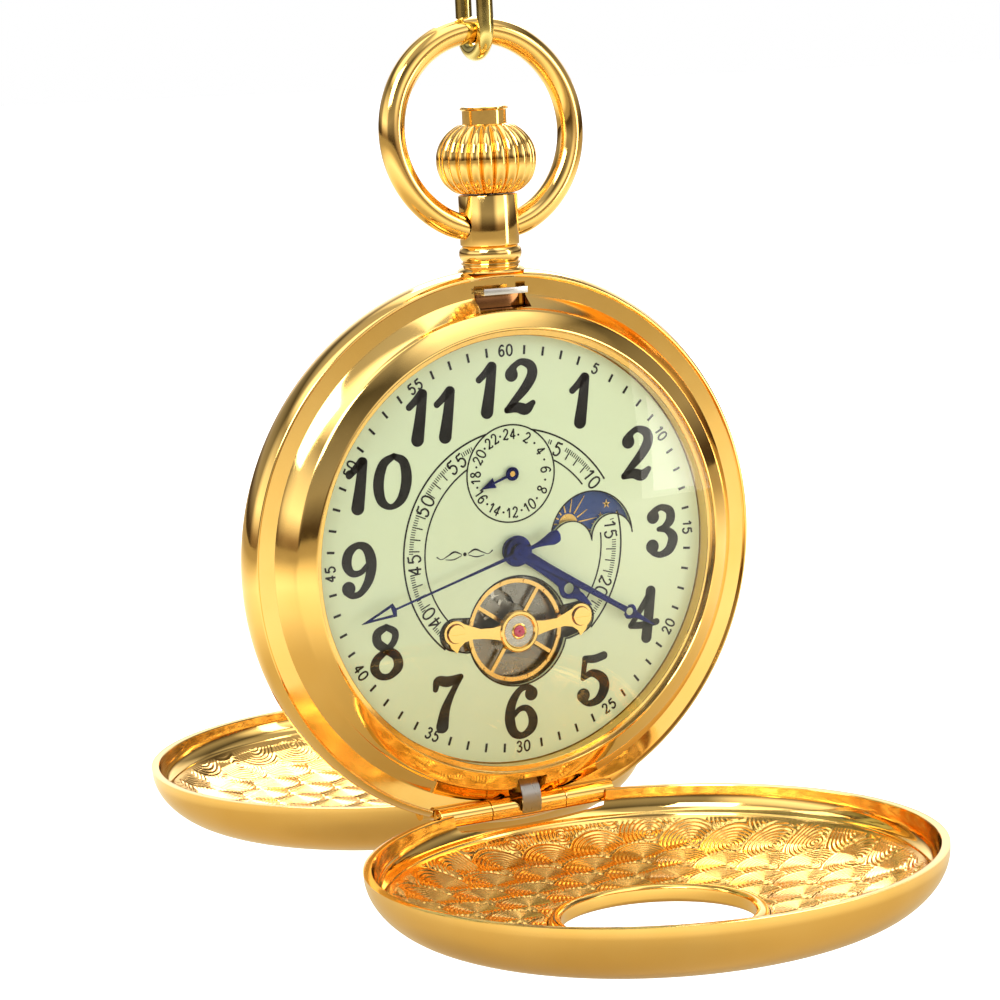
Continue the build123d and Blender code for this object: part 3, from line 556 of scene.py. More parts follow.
LID_FLOOR = [(0.0, 7.56), (4.0, 7.53), (8.0, 7.44), (9.2, 7.40), (11.0, 7.30), (13.0, 7.14),
             (15.0, 6.95), (17.0, 6.66), (18.5, 6.34), (20.0, 5.86), (21.2, 5.26),
             (22.0, 4.66), (22.55, 4.10)]
FLOOR_OUT_R = 22.50
FLOOR_IN_R = {True: 9.3, False: 0.15}                  # with window, without
FLOOR_STEP = {True: 0.058, False: 0.085}
STEP_RADIUS = 17                                       # where the step holds round the floor

# Embossed scales: pitch across and between rows, radius, concentric rings in each
SCALE_PITCH, SCALE_ROW, SCALE_R, SCALE_RINGS = 4.9, 3.05, 2.95, 8.0
SCALE_DOME, SCALE_RING_HEIGHT = 0.10, 0.088

NOTCH_HALF = 7.7                                       # half width of the hinge notch
NOTCH_STEPS = 24
LID_CATCH_CUT = (-2.7, 2.7, -2.97, -1.2, 22.8, 23.62)  # x0, x1, y0, y1, z0, z1


def scale_height(across, up):
    """Height of overlapping ringed scales: rows nearer the free edge lie over those behind."""
    covered = np.zeros(across.shape, bool)
    distance = np.zeros(across.shape)
    nearest_row = np.floor(up / SCALE_ROW)
    for k in range(2, -4, -1):            # from the row furthest towards the free edge
        row = nearest_row + k
        shift = np.where(np.mod(row, 2) > 0.5, 0.5, 0.0)
        centre = (np.round(across / SCALE_PITCH - shift) + shift) * SCALE_PITCH
        reach = np.hypot(across - centre, up - row * SCALE_ROW)
        inside = (reach < SCALE_R) & ~covered
        distance[inside] = reach[inside]
        covered |= inside
    t = distance / SCALE_R
    ring = (0.5 + 0.5 * np.cos(TAU * SCALE_RINGS * t)) ** 0.8
    height = SCALE_DOME * (1 - t ** 2)
    height += SCALE_RING_HEIGHT * ring * np.clip((1.02 - t) * 8, 0, 1)
    height[~covered] = 0
    return height


def embossed_floor(name, side, window):
    """Dense polar grid on the lid's inner face; the relief fades out at its borders."""
    inner = FLOOR_IN_R[window]
    step = FLOOR_STEP[window]
    rings = int((FLOOR_OUT_R - inner) / step)
    spokes = int(TAU * STEP_RADIUS / step)
    angle, radius = np.meshgrid(np.linspace(0, TAU, spokes, endpoint=False),
                                np.linspace(inner, FLOOR_OUT_R, rings), indexing="ij")
    X, Z = radius * np.sin(angle), radius * np.cos(angle)
    fade = np.clip((22.35 - radius) / 0.5, 0, 1)
    if window:
        fade = fade * np.clip((radius - 9.35) / 0.25, 0, 1)
    floor_r, floor_depth = np.array(LID_FLOOR).T
    depth = np.interp(radius, floor_r, floor_depth) - scale_height(X, Z) * fade
    verts = np.stack([X, -side * depth, Z], -1).reshape(-1, 3)
    here = np.arange(spokes * rings).reshape(spokes, rings)
    after = np.roll(here, -1, 0)
    faces = np.stack([here[:, :-1], here[:, 1:], after[:, 1:], after[:, :-1]], -1).reshape(-1, 4)
    if side < 0:
        faces = faces[:, ::-1]
    mesh = bpy.data.meshes.new(name + "_floor")
    mesh.vertices.add(len(verts))
    mesh.vertices.foreach_set("co", (verts * MM).ravel())
    mesh.loops.add(faces.size)
    mesh.loops.foreach_set("vertex_index", faces.ravel())
    mesh.polygons.add(len(faces))
    mesh.polygons.foreach_set("loop_start", np.arange(0, faces.size, 4))
    mesh.update(calc_edges=True)
    mesh.validate()
    shade(mesh, None)
    mesh.materials.append(GOLD_ENGRAVED)
    return add_object(name + "_floor", mesh)


def hinge_notch(side):
    """Cutter over the hinge, its floor following the round of the case band."""
    sections = []
    for i in range(NOTCH_STEPS + 1):
        x = -NOTCH_HALF + 2 * NOTCH_HALF * i / NOTCH_STEPS
        deep = HINGE_Y + 1.12 + 0.68 * (1 - (x / NOTCH_HALF) ** 2)
        sections.append([(x, -side * 1.0, -25.5), (x, -side * deep, -25.5),
                         (x, -side * deep, -22.15), (x, -side * 1.0, -22.15)])
    return square_bar("tool", sections)


def lid(name, side, window, body, open_degrees):
    """One lid, built closed and then swung open about its pin."""
    hinge_y = -side * HINGE_Y
    floor = embossed_floor(name, side, window)
    middle = WINDOW_LIP if window else SOLID_MIDDLE
    outline = LID_WALL + LID_RIM + LID_OUTSIDE + middle + SHELL_INSIDE
    shell = turned(name + "_shell", on_side(outline, side), GOLD, segments=320)
    tools = [hinge_notch(side),
             rod_x(hinge_y, HINGE_Z, KNUCKLE_R + KNUCKLE_GAP, -7.75, 7.75)]
    if window:
        tools.append(block(*LID_CATCH_CUT))
    cut(shell, tools)
    parts = [shell, floor]
    for end, x0, x1 in (("l", -8.75, -3.76), ("r", 3.76, 8.75)):
        parts.append(knuckle(name + "_knuckle_" + end, hinge_y, x0, x1,
                             bore_half=9.5, bevel=0.07))
    pin = Vector((0, hinge_y * MM, HINGE_Z * MM))
    swing = (Matrix.Translation(pin) @ Matrix.Rotation(math.radians(open_degrees), 4, "X")
             @ Matrix.Translation(-pin))
    for part in parts:
        part.data.transform(swing)
        put(part, body)
    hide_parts(body)


lid("front_lid", 1, window=True, body="front_cover", open_degrees=87.7)
lid("rear_lid", -1, window=False, body="rear_cover", open_degrees=-91.0)

# ------------------------------------------------------------------ pendant, crown, button
# (radius, z) outlines turned about the Z axis
NECK = [(0.9, 24.31), (1.5, 24.31), (1.5, 24.72), (2.95, 24.72), (2.98, 24.84), (2.86, 24.98),
        (2.62, 25.10), (2.46, 25.20), (2.44, 25.28), (2.56, 25.36), (2.62, 25.46),
        (2.58, 25.56), (2.42, 25.64), (2.56, 25.74), (2.70, 25.95), (2.76, 26.22),
        (2.76, 26.50), (2.68, 26.75), (2.52, 26.93), (2.40, 27.0), (2.52, 27.05),
        (2.60, 27.10), (2.61, 27.2), (2.61, 31.38), (2.57, 31.46), (2.48, 31.5), (0.9, 31.5)]
CROWN_BORE_Z = 35.05          # floor of the bore that holds the button
CROWN_OUTSIDE = [(2.45, 31.60), (2.80, 31.70), (3.30, 32.02), (3.92, 32.66), (4.28, 33.5),
                 (4.42, 34.40), (4.34, 35.3), (4.0, 36.15), (3.42, 36.88), (2.78, 37.38),
                 (2.46, 37.56)]
CROWN = ([(0.6, 31.6)] + smooth_line(CROWN_OUTSIDE, 5)
         + [(2.40, 37.60), (2.10, 37.60), (2.06, 37.54), (2.05, CROWN_BORE_Z),
            (0.6, CROWN_BORE_Z)])
CROWN_RIBS = 22
RIB_DEPTH = 0.55
BUTTON = [(0.0, 37.0), (1.93, 37.0), (1.95, 37.03), (1.95, 38.80), (2.06, 38.86),
          (2.12, 38.93), (2.12, 39.02), (2.06, 39.10), (1.9, 39.16), (1.0, 39.23),
          (0.0, 39.25)]


def crown_ribs(r, height, angle):
    """Flutes that deepen away from the ends; the bore and end faces stay round."""
    if r < 2.44 or height > 37.58:
        return r
    depth = RIB_DEPTH * min(1.0, max(0.0, (r - 2.42) / 0.8))
    return r - depth * (1 - abs(math.cos(CROWN_RIBS / 2 * angle)) ** 0.55)


neck = turned("neck", NECK, GOLD, "Z", 160)
put(neck, "case", "pendant")
# sockets for the ends of the bow
cut(neck, [rod_x(0, 28.85, 1.22, x0, x1, 48) for x0, x1 in ((-3.4, -1.95), (1.95, 3.4))])

crown = turned("crown_onion", CROWN, GOLD, "Z", 640, crease=50, reshape=crown_ribs)
put(crown, "crown", "crown")
button = turned("button_cap", BUTTON, GOLD, "Z", 128)
put(button, "push_button", "push_button")
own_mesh(NODES["button_spring"])

# ------------------------------------------------------------------ bow and oblong link
BOW_Z = 28.9                  # height of the pivot line
BOW_R = 8.73
BOW_WIRE_R = 1.15
BOW_END_X = 2.35              # half gap between the bow's ends
BOW_TILT = 3.4                # degrees, top leaning to +Y
BOW_STEPS = 180
LINK_R = 2.05                 # radius of the link's round ends
LINK_STRAIGHT = 5.2
LINK_WIRE_R = 0.72
bow_centre_z = BOW_Z + math.sqrt(BOW_R ** 2 - 3.1 ** 2)


def make_bow():
    gap = math.asin(BOW_END_X / BOW_R)
    path = []
    for i in range(BOW_STEPS + 1):
        a = -math.pi / 2 + gap + (TAU - 2 * gap) * i / BOW_STEPS
        path.append((BOW_R * math.cos(a), 0.0, bow_centre_z + BOW_R * math.sin(a)))
    radii = [BOW_WIRE_R] * len(path)
    for i in range(6):        # slightly thinner towards both ends
        radii[i] = BOW_WIRE_R * (0.92 + 0.08 * math.sin(i / 6 * math.pi / 2))
        radii[-1 - i] = radii[i]
    bow = tube("bow_ring", path, radii, GOLD, segments=56)
    bow.data.transform(Matrix.Translation((0, 0, BOW_Z * MM))
                       @ Matrix.Rotation(math.radians(-BOW_TILT), 4, "X")
                       @ Matrix.Translation((0, 0, -BOW_Z * MM)))
    put(bow, "bow", "bow")


def make_link():
    """Oblong link hanging round the top of the tilted bow, in the YZ plane."""
    reach = bow_centre_z + BOW_R - BOW_Z
    tilt = math.radians(BOW_TILT)
    y, z = reach * math.sin(tilt), BOW_Z + reach * math.cos(tilt) + 0.08

    def half_round(start, base):
        angles = [start + math.pi * i / 32 for i in range(33)]
        return [(0, y + LINK_R * math.cos(a), base + LINK_R * math.sin(a)) for a in angles]

    rise = [LINK_STRAIGHT * i / 10 for i in range(1, 10)]
    path = half_round(math.pi, z)
    path += [(0, y + LINK_R, z + up) for up in rise]
    path += half_round(0, z + LINK_STRAIGHT)
    path += [(0, y - LINK_R, z + LINK_STRAIGHT - down) for down in rise]
    link = tube("oblong_link", path, [LINK_WIRE_R] * len(path), PALE, segments=36, closed=True)
    put(link, "chain_link", "chain_link")


make_bow()
make_link()

# ------------------------------------------------------------------ lift spring and catch
# (y, z) along the outer face of the bent strip
LIFT_LINE = [(-2.30, -20.42), (-2.62, -20.78), (-2.95, -21.15), (-3.18, -21.55),
             (-3.33, -21.98), (-3.42, -22.6), (-3.41, -23.0), (-3.34, -23.38), (-3.20, -23.72)]
LIFT_THICK = 0.20
LIFT_HALF, LIFT_TIP_HALF = 0.94, 0.86
# name, material, x0, x1, y0, y1, z0, z1
# the catch plate is coloured with the painted recess shade
CATCH = [("catch_plate", RECESS_SHADE, -2.15, 2.15, -1.05, -0.75, 20.3, 23.05),
         ("catch_riser", STEEL, -2.15, 2.15, -2.72, -0.80, 22.86, 23.06),
         ("catch_lip", STEEL, -2.15, 2.15, -2.76, -2.46, 22.82, 23.40)]
NODE_BEVELS = (("balance_bridge", 0.09), ("regulator_disc", 0.05), ("balance_wheel", 0.05))


def lift_spring():
    line = [np.array(p) for p in smooth_line(LIFT_LINE, 5)]
    last = len(line) - 1
    sections = []
    for i, outer in enumerate(line):
        along = line[min(i + 1, last)] - line[max(i - 1, 0)]
        along = along / np.linalg.norm(along)
        inward = np.array([along[1], -along[0]])
        if inward[0] < 0:
            inward = -inward
        inner = outer + inward * LIFT_THICK
        half = LIFT_HALF if i < last - 1 else LIFT_TIP_HALF
        sections.append([(-half, *outer), (half, *outer), (half, *inner), (-half, *inner)])
    ob = square_bar("lift_tab", sections, SPRING, 40)
    add_bevel(ob, 0.05)
    put(ob, "front_lift_spring", "front_lift_spring")


lift_spring()
for name, material, *bounds in CATCH:
    ob = block(*bounds)
    ob.name = name
    ob.data.materials.append(material)
    add_bevel(ob, 0.04)
    put(ob, "front_latch")
    if name == "catch_plate":
        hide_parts("front_latch")
for name, width in NODE_BEVELS:
    add_bevel(NODES[name], width, segments=3).angle_limit = math.radians(50)
for ob in NODES.values():
    shade(ob.data, 24)

# ------------------------------------------------------------------ dial printing
DIAL_Y = -2.05
PRINT_Y = (DIAL_Y - 0.035, DIAL_Y + 0.02)     # ink stands a hair over the enamel
SUN_Y = (-1.625, -1.57)
HOUR_BOLD = 1.10                              # stroke widening of the shaded digits
DIGIT_WIDE = 0.62

# Pen strokes (x, z, width) of each digit in a box DIGIT_WIDE wide and 1 high
DIGITS = {
    "0": [[(0.31, 0.98, .10), (0.12, 0.84, .17), (0.05, 0.5, .20), (0.12, 0.16, .17),
           (0.31, 0.02, .10), (0.50, 0.16, .17), (0.57, 0.5, .20), (0.50, 0.84, .17),
           (0.31, 0.98, .10)]],
    "1": [[(0.12, 0.70, .12), (0.22, 0.80, .13), (0.34, 0.94, .16)],
          [(0.36, 0.93, .17), (0.34, 0.5, .20), (0.31, 0.07, .24)]],
    "2": [[(0.12, 0.74, .25), (0.13, 0.80, .22), (0.17, 0.90, .12), (0.30, 0.97, .12),
           (0.48, 0.88, .18), (0.52, 0.70, .20), (0.40, 0.46, .18), (0.20, 0.22, .13),
           (0.07, 0.06, .10)],
          [(0.08, 0.07, .12), (0.26, 0.10, .18), (0.44, 0.05, .20), (0.57, 0.16, .10)]],
    "3": [[(0.13, 0.80, .25), (0.14, 0.84, .22), (0.20, 0.94, .12), (0.32, 0.97, .12),
           (0.47, 0.88, .17), (0.48, 0.70, .18), (0.36, 0.57, .12), (0.25, 0.54, .09)],
          [(0.27, 0.54, .09), (0.42, 0.50, .13), (0.54, 0.34, .20), (0.47, 0.12, .18),
           (0.30, 0.03, .12), (0.17, 0.07, .12), (0.12, 0.17, .22), (0.12, 0.21, .26)]],
    "4": [[(0.44, 0.97, .12), (0.28, 0.68, .12), (0.06, 0.32, .10)],
          [(0.06, 0.31, .12), (0.30, 0.29, .13), (0.58, 0.32, .12)],
          [(0.42, 0.95, .20), (0.41, 0.5, .20), (0.39, 0.03, .21)]],
    "5": [[(0.53, 0.95, .15), (0.35, 0.91, .15), (0.16, 0.93, .13)],
          [(0.16, 0.93, .11), (0.13, 0.72, .10), (0.11, 0.55, .09)],
          [(0.11, 0.55, .09), (0.30, 0.63, .14), (0.50, 0.50, .19), (0.54, 0.30, .20),
           (0.44, 0.10, .17), (0.27, 0.03, .12), (0.16, 0.07, .12), (0.12, 0.17, .22),
           (0.12, 0.21, .26)]],
    "6": [[(0.50, 0.82, .25), (0.50, 0.86, .22), (0.42, 0.96, .12), (0.27, 0.92, .12),
           (0.12, 0.68, .17), (0.08, 0.36, .20), (0.16, 0.10, .17), (0.33, 0.02, .12),
           (0.50, 0.14, .17), (0.53, 0.34, .18), (0.43, 0.53, .13), (0.28, 0.55, .10),
           (0.13, 0.42, .10)]],
    "7": [[(0.08, 0.78, .10), (0.12, 0.94, .16), (0.32, 0.90, .19), (0.55, 0.96, .11)],
          [(0.55, 0.96, .10), (0.40, 0.66, .12), (0.29, 0.36, .18), (0.25, 0.04, .24)]],
    "8": [[(0.31, 0.98, .11), (0.15, 0.88, .16), (0.15, 0.70, .17), (0.31, 0.55, .16),
           (0.49, 0.40, .17), (0.53, 0.20, .18), (0.42, 0.06, .13), (0.31, 0.02, .11),
           (0.18, 0.06, .13), (0.09, 0.20, .17), (0.13, 0.38, .15), (0.31, 0.53, .12),
           (0.45, 0.68, .12), (0.47, 0.86, .13), (0.31, 0.98, .11)]],
    "9": [[(0.49, 0.60, .10), (0.34, 0.46, .10), (0.18, 0.47, .13), (0.09, 0.64, .18),
           (0.13, 0.86, .17), (0.29, 0.98, .12), (0.46, 0.90, .17), (0.54, 0.64, .20),
           (0.50, 0.32, .17), (0.35, 0.08, .12), (0.20, 0.04, .12), (0.13, 0.13, .22),
           (0.12, 0.18, .25)]],
}


def digit_strokes(digit, mono):
    """Smoothed strokes, shaded by default or all of width mono."""
    strokes = []
    for stroke in DIGITS[digit]:
        line = smooth_line([(x, z, width * HOUR_BOLD) for x, z, width in stroke])
        strokes.append([(x, z, mono or width) for x, z, width in line])
    return strokes


class Print:
    """Collects flat strokes as thin plates in the dial plane and makes one mesh."""

    def __init__(self, y_range=PRINT_Y):
        self.front, self.back = y_range
        self.verts, self.faces = [], []

    def strip(self, points, width=None):
        """Stroke through (x, z) points, or (x, z, width) points."""
        base, count = len(self.verts), len(points)
        line = [np.array(p[:2], float) for p in points]
        for i, point in enumerate(line):
            along = line[min(i + 1, count - 1)] - line[max(i - 1, 0)]
            along = along / (np.linalg.norm(along) + 1e-9)
            wide = points[i][2] if len(points[i]) > 2 else width
            half = np.array([-along[1], along[0]]) * wide / 2
            for sign, y in ((1, self.front), (-1, self.front), (-1, self.back), (1, self.back)):
                x, z = point + half * sign
                self.verts.append((x, y, z))
        last = base + (count - 1) * 4
        self.faces += grid_faces(count, 4, False, base)
        self.faces += [(base + 3, base + 2, base + 1, base), tuple(range(last, last + 4))]

    def dot(self, centre, radius, count=20, proud=0.0):
        base = len(self.verts)
        for y in (self.front - proud, self.back):
            for k in range(count):
                a = TAU * k / count
                self.verts.append((centre[0] + radius * math.cos(a), y,
                                   centre[1] + radius * math.sin(a)))
        self.faces += grid_faces(2, count, False, base)
        self.faces.append(tuple(range(base, base + count))[::-1])
        self.faces.append(tuple(range(base + count, base + 2 * count)))

    def number(self, text, centre, height, turn, spacing, wide=1.0, slant=0.0, mono=None):
        """Digits turned clockwise by turn degrees; shaded digits get round stroke ends."""
        advances = [0.52 if digit == "1" else spacing for digit in text]
        left = -sum(advances) / 2
        cos, sin = math.cos(math.radians(turn)), math.sin(math.radians(turn))
        for digit, advance in zip(text, advances):
            start = left + (advance - DIGIT_WIDE) / 2
            for stroke in digit_strokes(digit, mono):
                placed = []
                for x, z, width in stroke:
                    across = (start + x + slant * (z - 0.5)) * height * wide
                    up = (z - 0.5) * height
                    placed.append((centre[0] + across * cos + up * sin,
                                   centre[1] - across * sin + up * cos, width * height))
                self.strip(placed)
                if not mono:
                    for end in (placed[0], placed[-1]):
                        self.dot(end[:2], end[2] / 2, proud=0.004)
            left += advance

    def ring(self, radius, width, start, end, steps, centre=(0, 0)):
        """Arc line between two clockwise dial angles."""
        self.strip([polar(radius, start + (end - start) * i / steps, centre)
                    for i in range(steps + 1)], width)

    def loop(self, points, width):
        self.strip(points + [points[0]], width)

    def make(self, name, material):
        ob = mesh_obj(name, self.verts, self.faces, material, 30)
        tidy(ob.data)
        return ob


# Hour numerals: radius from one to twelve o'clock
HOUR_R = (14.8, 14.9, 15.2, 15.0, 14.8, 14.7, 14.8, 15.0, 15.2, 14.9, 14.8, 14.6)
LEANING_HOURS = (1, 2, 4, 7, 10, 11, 12)
hours = Print()
for hour, radius in enumerate(HOUR_R, 1):
    hours.number(str(hour), polar(radius - 0.05, hour * 30), height=4.6, turn=0.0,
                 spacing=0.72, wide=1.12, slant=0.10 if hour in LEANING_HOURS else 0.04)
put(hours.make("hour_numerals", INK), "case")


def minute_scale(ink):
    """Ticks round the edge, with a number at every fifth minute."""
    for minute in range(60):
        if minute % 5:
            a = math.radians(minute * 6)
            # the ticks' outer ends lie on a slight ellipse
            ink.strip([(17.45 * math.sin(a), 17.45 * math.cos(a)),
                       (18.15 * math.sin(a), 18.25 * math.cos(a))], 0.21)
    for minute in range(5, 65, 5):
        angle = minute * 6
        turn = angle + (180 if 100 < angle % 360 < 260 else 0)
        ink.number(str(minute), polar(17.85, angle), height=1.0, turn=turn,
                   spacing=0.78, mono=0.16)


# Inner seconds scale, in clockwise degrees: (start, end) arcs and (angle, text) numbers
OUTER_ARCS = ((12.2, 60), (77, 137), (222, 347.8))
INNER_ARCS = ((29.4, 54), (86, 131), (222, 330.6))
TICK_ARCS = ((21.6, 60), (80, 134), (223, 338.4))
SECONDS = ((29, "5"), (56, "10"), (86, "15"), (116, "20"),
           (327.5, "55"), (300, "50"), (269, "45"), (239, "40"))


def seconds_scale(ink):
    for radius, width, arcs in ((10.85, 0.15, OUTER_ARCS), (8.80, 0.13, INNER_ARCS)):
        for start, end in arcs:
            ink.ring(radius, width, start, end, 100)
    for k in range(300):
        angle = k * 1.2
        in_arc = any(start <= angle <= end for start, end in TICK_ARCS)
        if not in_arc or any(abs(angle - at) < 4.6 for at, _ in SECONDS):
            continue
        inner = 9.35 if k % 5 == 0 and 27 < angle < 333 else 9.95
        ink.strip([polar(inner, angle), polar(10.35, angle)], 0.07 if k % 5 else 0.10)
    for angle, text in SECONDS:
        ink.number(text, polar(9.84, angle), height=1.32, turn=angle, spacing=0.78, mono=0.12)


def day_scale(ink):
    """24-hour subdial: even hours as numbers, odd hours as dots."""
    ink.ring(4.34, 0.13, 0, 360, 120, DAY_CENTRE)
    for hour in range(24):
        angle = hour * 15
        spot = polar(3.50, angle, DAY_CENTRE)
        if hour % 2:
            ink.dot(spot, 0.10, 12)
        else:
            turn = angle + (180 if 95 < angle < 265 else 0)
            ink.number(str(hour or 24), spot, height=1.0, turn=turn, spacing=0.74,
                       wide=0.95, mono=0.13)


fine_print = Print()
minute_scale(fine_print)
seconds_scale(fine_print)
day_scale(fine_print)
put(fine_print.make("fine_printing", INK), "case")

# Lines round the moon and balance openings and the dial centre
outlines = Print()
outlines.loop(arc((7.87, 0.3), 4.17, 0, 180, 60) + arc((5.76, -0.15), 2.1, 168, 3, 30)
              + arc((9.98, 0.1), 2.1, 177, 5, 30), 0.12)
balance_centre = (0.0, BALANCE_Z)
right_ear = [(5.2, -8.62)] + arc((6.25, -6.85), 1.44, -84, 86, 24) + [(5.2, -5.52)]
outlines.loop(arc(balance_centre, 4.97, 20.5, 159.5, 60) + mirror(right_ear[::-1])
              + arc(balance_centre, 4.97, 195.5, 344.5, 60) + right_ear, 0.13)
outlines.ring(1.18, 0.10, 0, 360, 60)
put(outlines.make("opening_outlines", INK), "case")

# Small ornament left of centre: (x from its middle, z, width), mirrored about the middle
FLOURISH_X = -4.9
FLOURISH = ([(0.3, 0.25, .06), (1.0, 0.55, .16), (1.7, 0.25, .10), (2.3, 0.02, .05),
             (2.75, 0.28, .12)],
            [(0.3, 0.15, .05), (1.1, -0.12, .10), (1.9, -0.05, .05)])
flourish = Print()
for sign in (-1, 1):
    for stroke in FLOURISH:
        flourish.strip(smooth_line([(FLOURISH_X + sign * x, z, w) for x, z, w in stroke], 7))
flourish.dot((FLOURISH_X, 0.22), 0.17)
put(flourish.make("dial_flourish", INK), "case")

# Gold sun and stars on the moon disc: stars as x, z, radius
SUN_CENTRE = (5.75, 1.63)
STARS = ((9.75, 3.05, 0.42), (10.75, 1.95, 0.30), (8.45, 1.35, 0.34), (8.05, 0.35, 0.24),
         (9.1, 2.1, 0.26), (6.7, -2.1, 0.4), (5.5, -2.6, 0.34), (7.6, -3.3, 0.32),
         (9.9, -2.4, 0.3), (10.9, -1.2, 0.3), (8.6, -2.4, 0.26))
sky = Print(SUN_Y)


def ray(centre, angle, start, end, start_width, end_width):
    """Tapered stroke between two distances from centre."""
    cos, sin = math.cos(angle), math.sin(angle)
    sky.strip([(centre[0] + start * cos, centre[1] + start * sin, start_width),
               (centre[0] + end * cos, centre[1] + end * sin, end_width)])


sky.dot(SUN_CENTRE, 0.95, 40)
for k in range(15):
    ray(SUN_CENTRE, TAU * k / 15 + 0.1, 1.1, 2.3 if k % 2 else 3.0, 0.13, 0.05)
for x, z, radius in STARS:
    for k in range(5):
        ray((x, z), 0.3 + TAU * k / 5, 0, radius, radius * 0.55, 0.02)
put(sky.make("sun_and_stars", GOLD_SATIN), "sun_moon_disc")

# ------------------------------------------------------------------ hands
HAND_THICK = 0.15


def plate(name, outlines, front, material, bevel):
    """Bevelled plate HAND_THICK deep from (x, z) outlines, outermost first, holes after."""
    curve = bpy.data.curves.new(name, "CURVE")
    curve.dimensions = "2D"
    curve.fill_mode = "BOTH"
    for outline in outlines:
        spline = curve.splines.new("POLY")
        spline.points.add(len(outline) - 1)
        for point, (x, z) in zip(spline.points, outline):
            point.co = (x * MM, z * MM, 0, 1)
        spline.use_cyclic_u = True
    curve.extrude = (HAND_THICK / 2 - bevel) * MM
    curve.bevel_depth = bevel * MM
    curve.bevel_resolution = 2
    curve.offset = -bevel * MM
    source = add_object(name + "_c", curve)
    mesh = evaluated_mesh(source)
    bpy.data.objects.remove(source)
    mesh.transform(Matrix.Translation((0, (front + HAND_THICK / 2) * MM, 0))
                   @ Matrix.Rotation(math.radians(90), 4, "X"))
    mesh.name = name
    tidy(mesh, merge=2e-7)
    shade(mesh, 35)
    mesh.materials.clear()
    mesh.materials.append(material)
    return add_object(name, mesh)


def hand(name, body, node, outlines, front, degrees, centre=(0, 0), bevel=0.035):
    """Hand drawn pointing to twelve, then turned clockwise about its centre."""
    cos, sin = math.cos(math.radians(degrees)), math.sin(math.radians(degrees))
    placed = [[(centre[0] + x * cos + z * sin, centre[1] - x * sin + z * cos)
               for x, z in outline] for outline in outlines]
    put(plate(name, placed, front, BLUE, bevel), body, node)


def ring_and_blade(radius, gap, count, blade):
    """Hub ring, open for gap degrees each side of twelve, joined to a symmetric blade."""
    hub = [polar(radius, d) for d in np.linspace(gap, 360 - gap, count)]
    return hub + mirror(blade) + blade[::-1]


# Right edges of the hands as (x, z), pointing to twelve
HOUR_BLADE = smooth_line([
    (0.50, 1.30), (0.40, 3.0), (0.42, 5.2), (0.62, 5.62), (0.93, 6.1), (0.95, 6.6),
    (0.70, 7.1), (0.42, 7.55), (0.40, 7.9), (0.22, 8.7), (0.02, 9.35)])
MINUTE_BLADE = smooth_line([
    (0.46, 1.16), (0.34, 4.0), (0.28, 9.0), (0.27, 12.2), (0.48, 12.5), (0.70, 12.85),
    (0.62, 13.2), (0.32, 13.55), (0.27, 13.9), (0.15, 15.0), (0.02, 16.0)])
SECOND_BLADE = [(0.16, 0.75), (0.10, 6.0), (0.085, 12.9), (0.62, 13.05), (0.30, 14.7),
                (0.02, 16.35)]
SECOND_TAIL = smooth_line([(0.17, -0.74), (0.20, -1.6), (0.42, -2.6), (0.62, -3.3),
                           (0.50, -3.95), (0.02, -4.12)])
SECOND_HOLE = [(0.33, 13.32), (0.0, 15.35), (-0.33, 13.32)]
DAY_BLADE = [(0.12, 0.62), (0.09, 1.95), (0.48, 1.9), (0.22, 2.6), (0.01, 3.35)]

hand("hour_hand_fine", "hour_wheel", "hour_hand",
     [ring_and_blade(1.40, 22, 60, HOUR_BLADE), circle(0.95, 48)[::-1],
      circle(0.50, 36, z=6.42)[::-1]], front=-2.68, degrees=128.5)
hand("minute_hand_fine", "centre_wheel", "minute_hand",
     [ring_and_blade(1.25, 22, 60, MINUTE_BLADE), circle(0.69, 48)[::-1],
      circle(0.36, 30, z=12.88)[::-1]], front=-3.08, degrees=121.8)
second_right = (SECOND_BLADE[::-1] + [polar(0.75, d) for d in np.linspace(14, 166, 30)]
                + SECOND_TAIL)
hand("second_hand_fine", "fourth_wheel", "second_hand",
     [second_right + mirror(second_right[::-1]), circle(0.21, 30)[::-1], SECOND_HOLE],
     front=-3.48, degrees=254.1, bevel=0.02)
hand("day_hand_fine", "day_wheel", "day_night_hand",
     [ring_and_blade(0.62, 12, 40, DAY_BLADE), circle(0.26, 30)[::-1]],
     front=-2.42, degrees=251.0, centre=DAY_CENTRE, bevel=0.02)
cap = turned("centre_cap", [(0.0, -3.62), (0.22, -3.60), (0.30, -3.52), (0.30, -3.40),
                            (0.0, -3.40)], BLUE, segments=48)
put(cap, "fourth_wheel")

# ------------------------------------------------------------------ balance bridge details
COLLAR = [(1.45, -2.30), (1.46, -2.40), (1.56, -2.46), (1.78, -2.46), (1.88, -2.40),
          (1.89, -2.30)]
JEWEL = [(0.06, -2.36), (0.12, -2.42), (0.30, -2.44), (0.46, -2.40), (0.50, -2.32),
         (0.50, -2.25), (0.06, -2.25)]
SETTING = [(0.51, -2.28), (0.52, -2.34), (0.62, -2.37), (0.72, -2.34), (0.74, -2.28)]
GROOVE = [(0.80, -2.30), (0.81, -2.335), (0.90, -2.338), (0.91, -2.30)]
SCREW_X, SCREW_Z = 6.27, -6.7
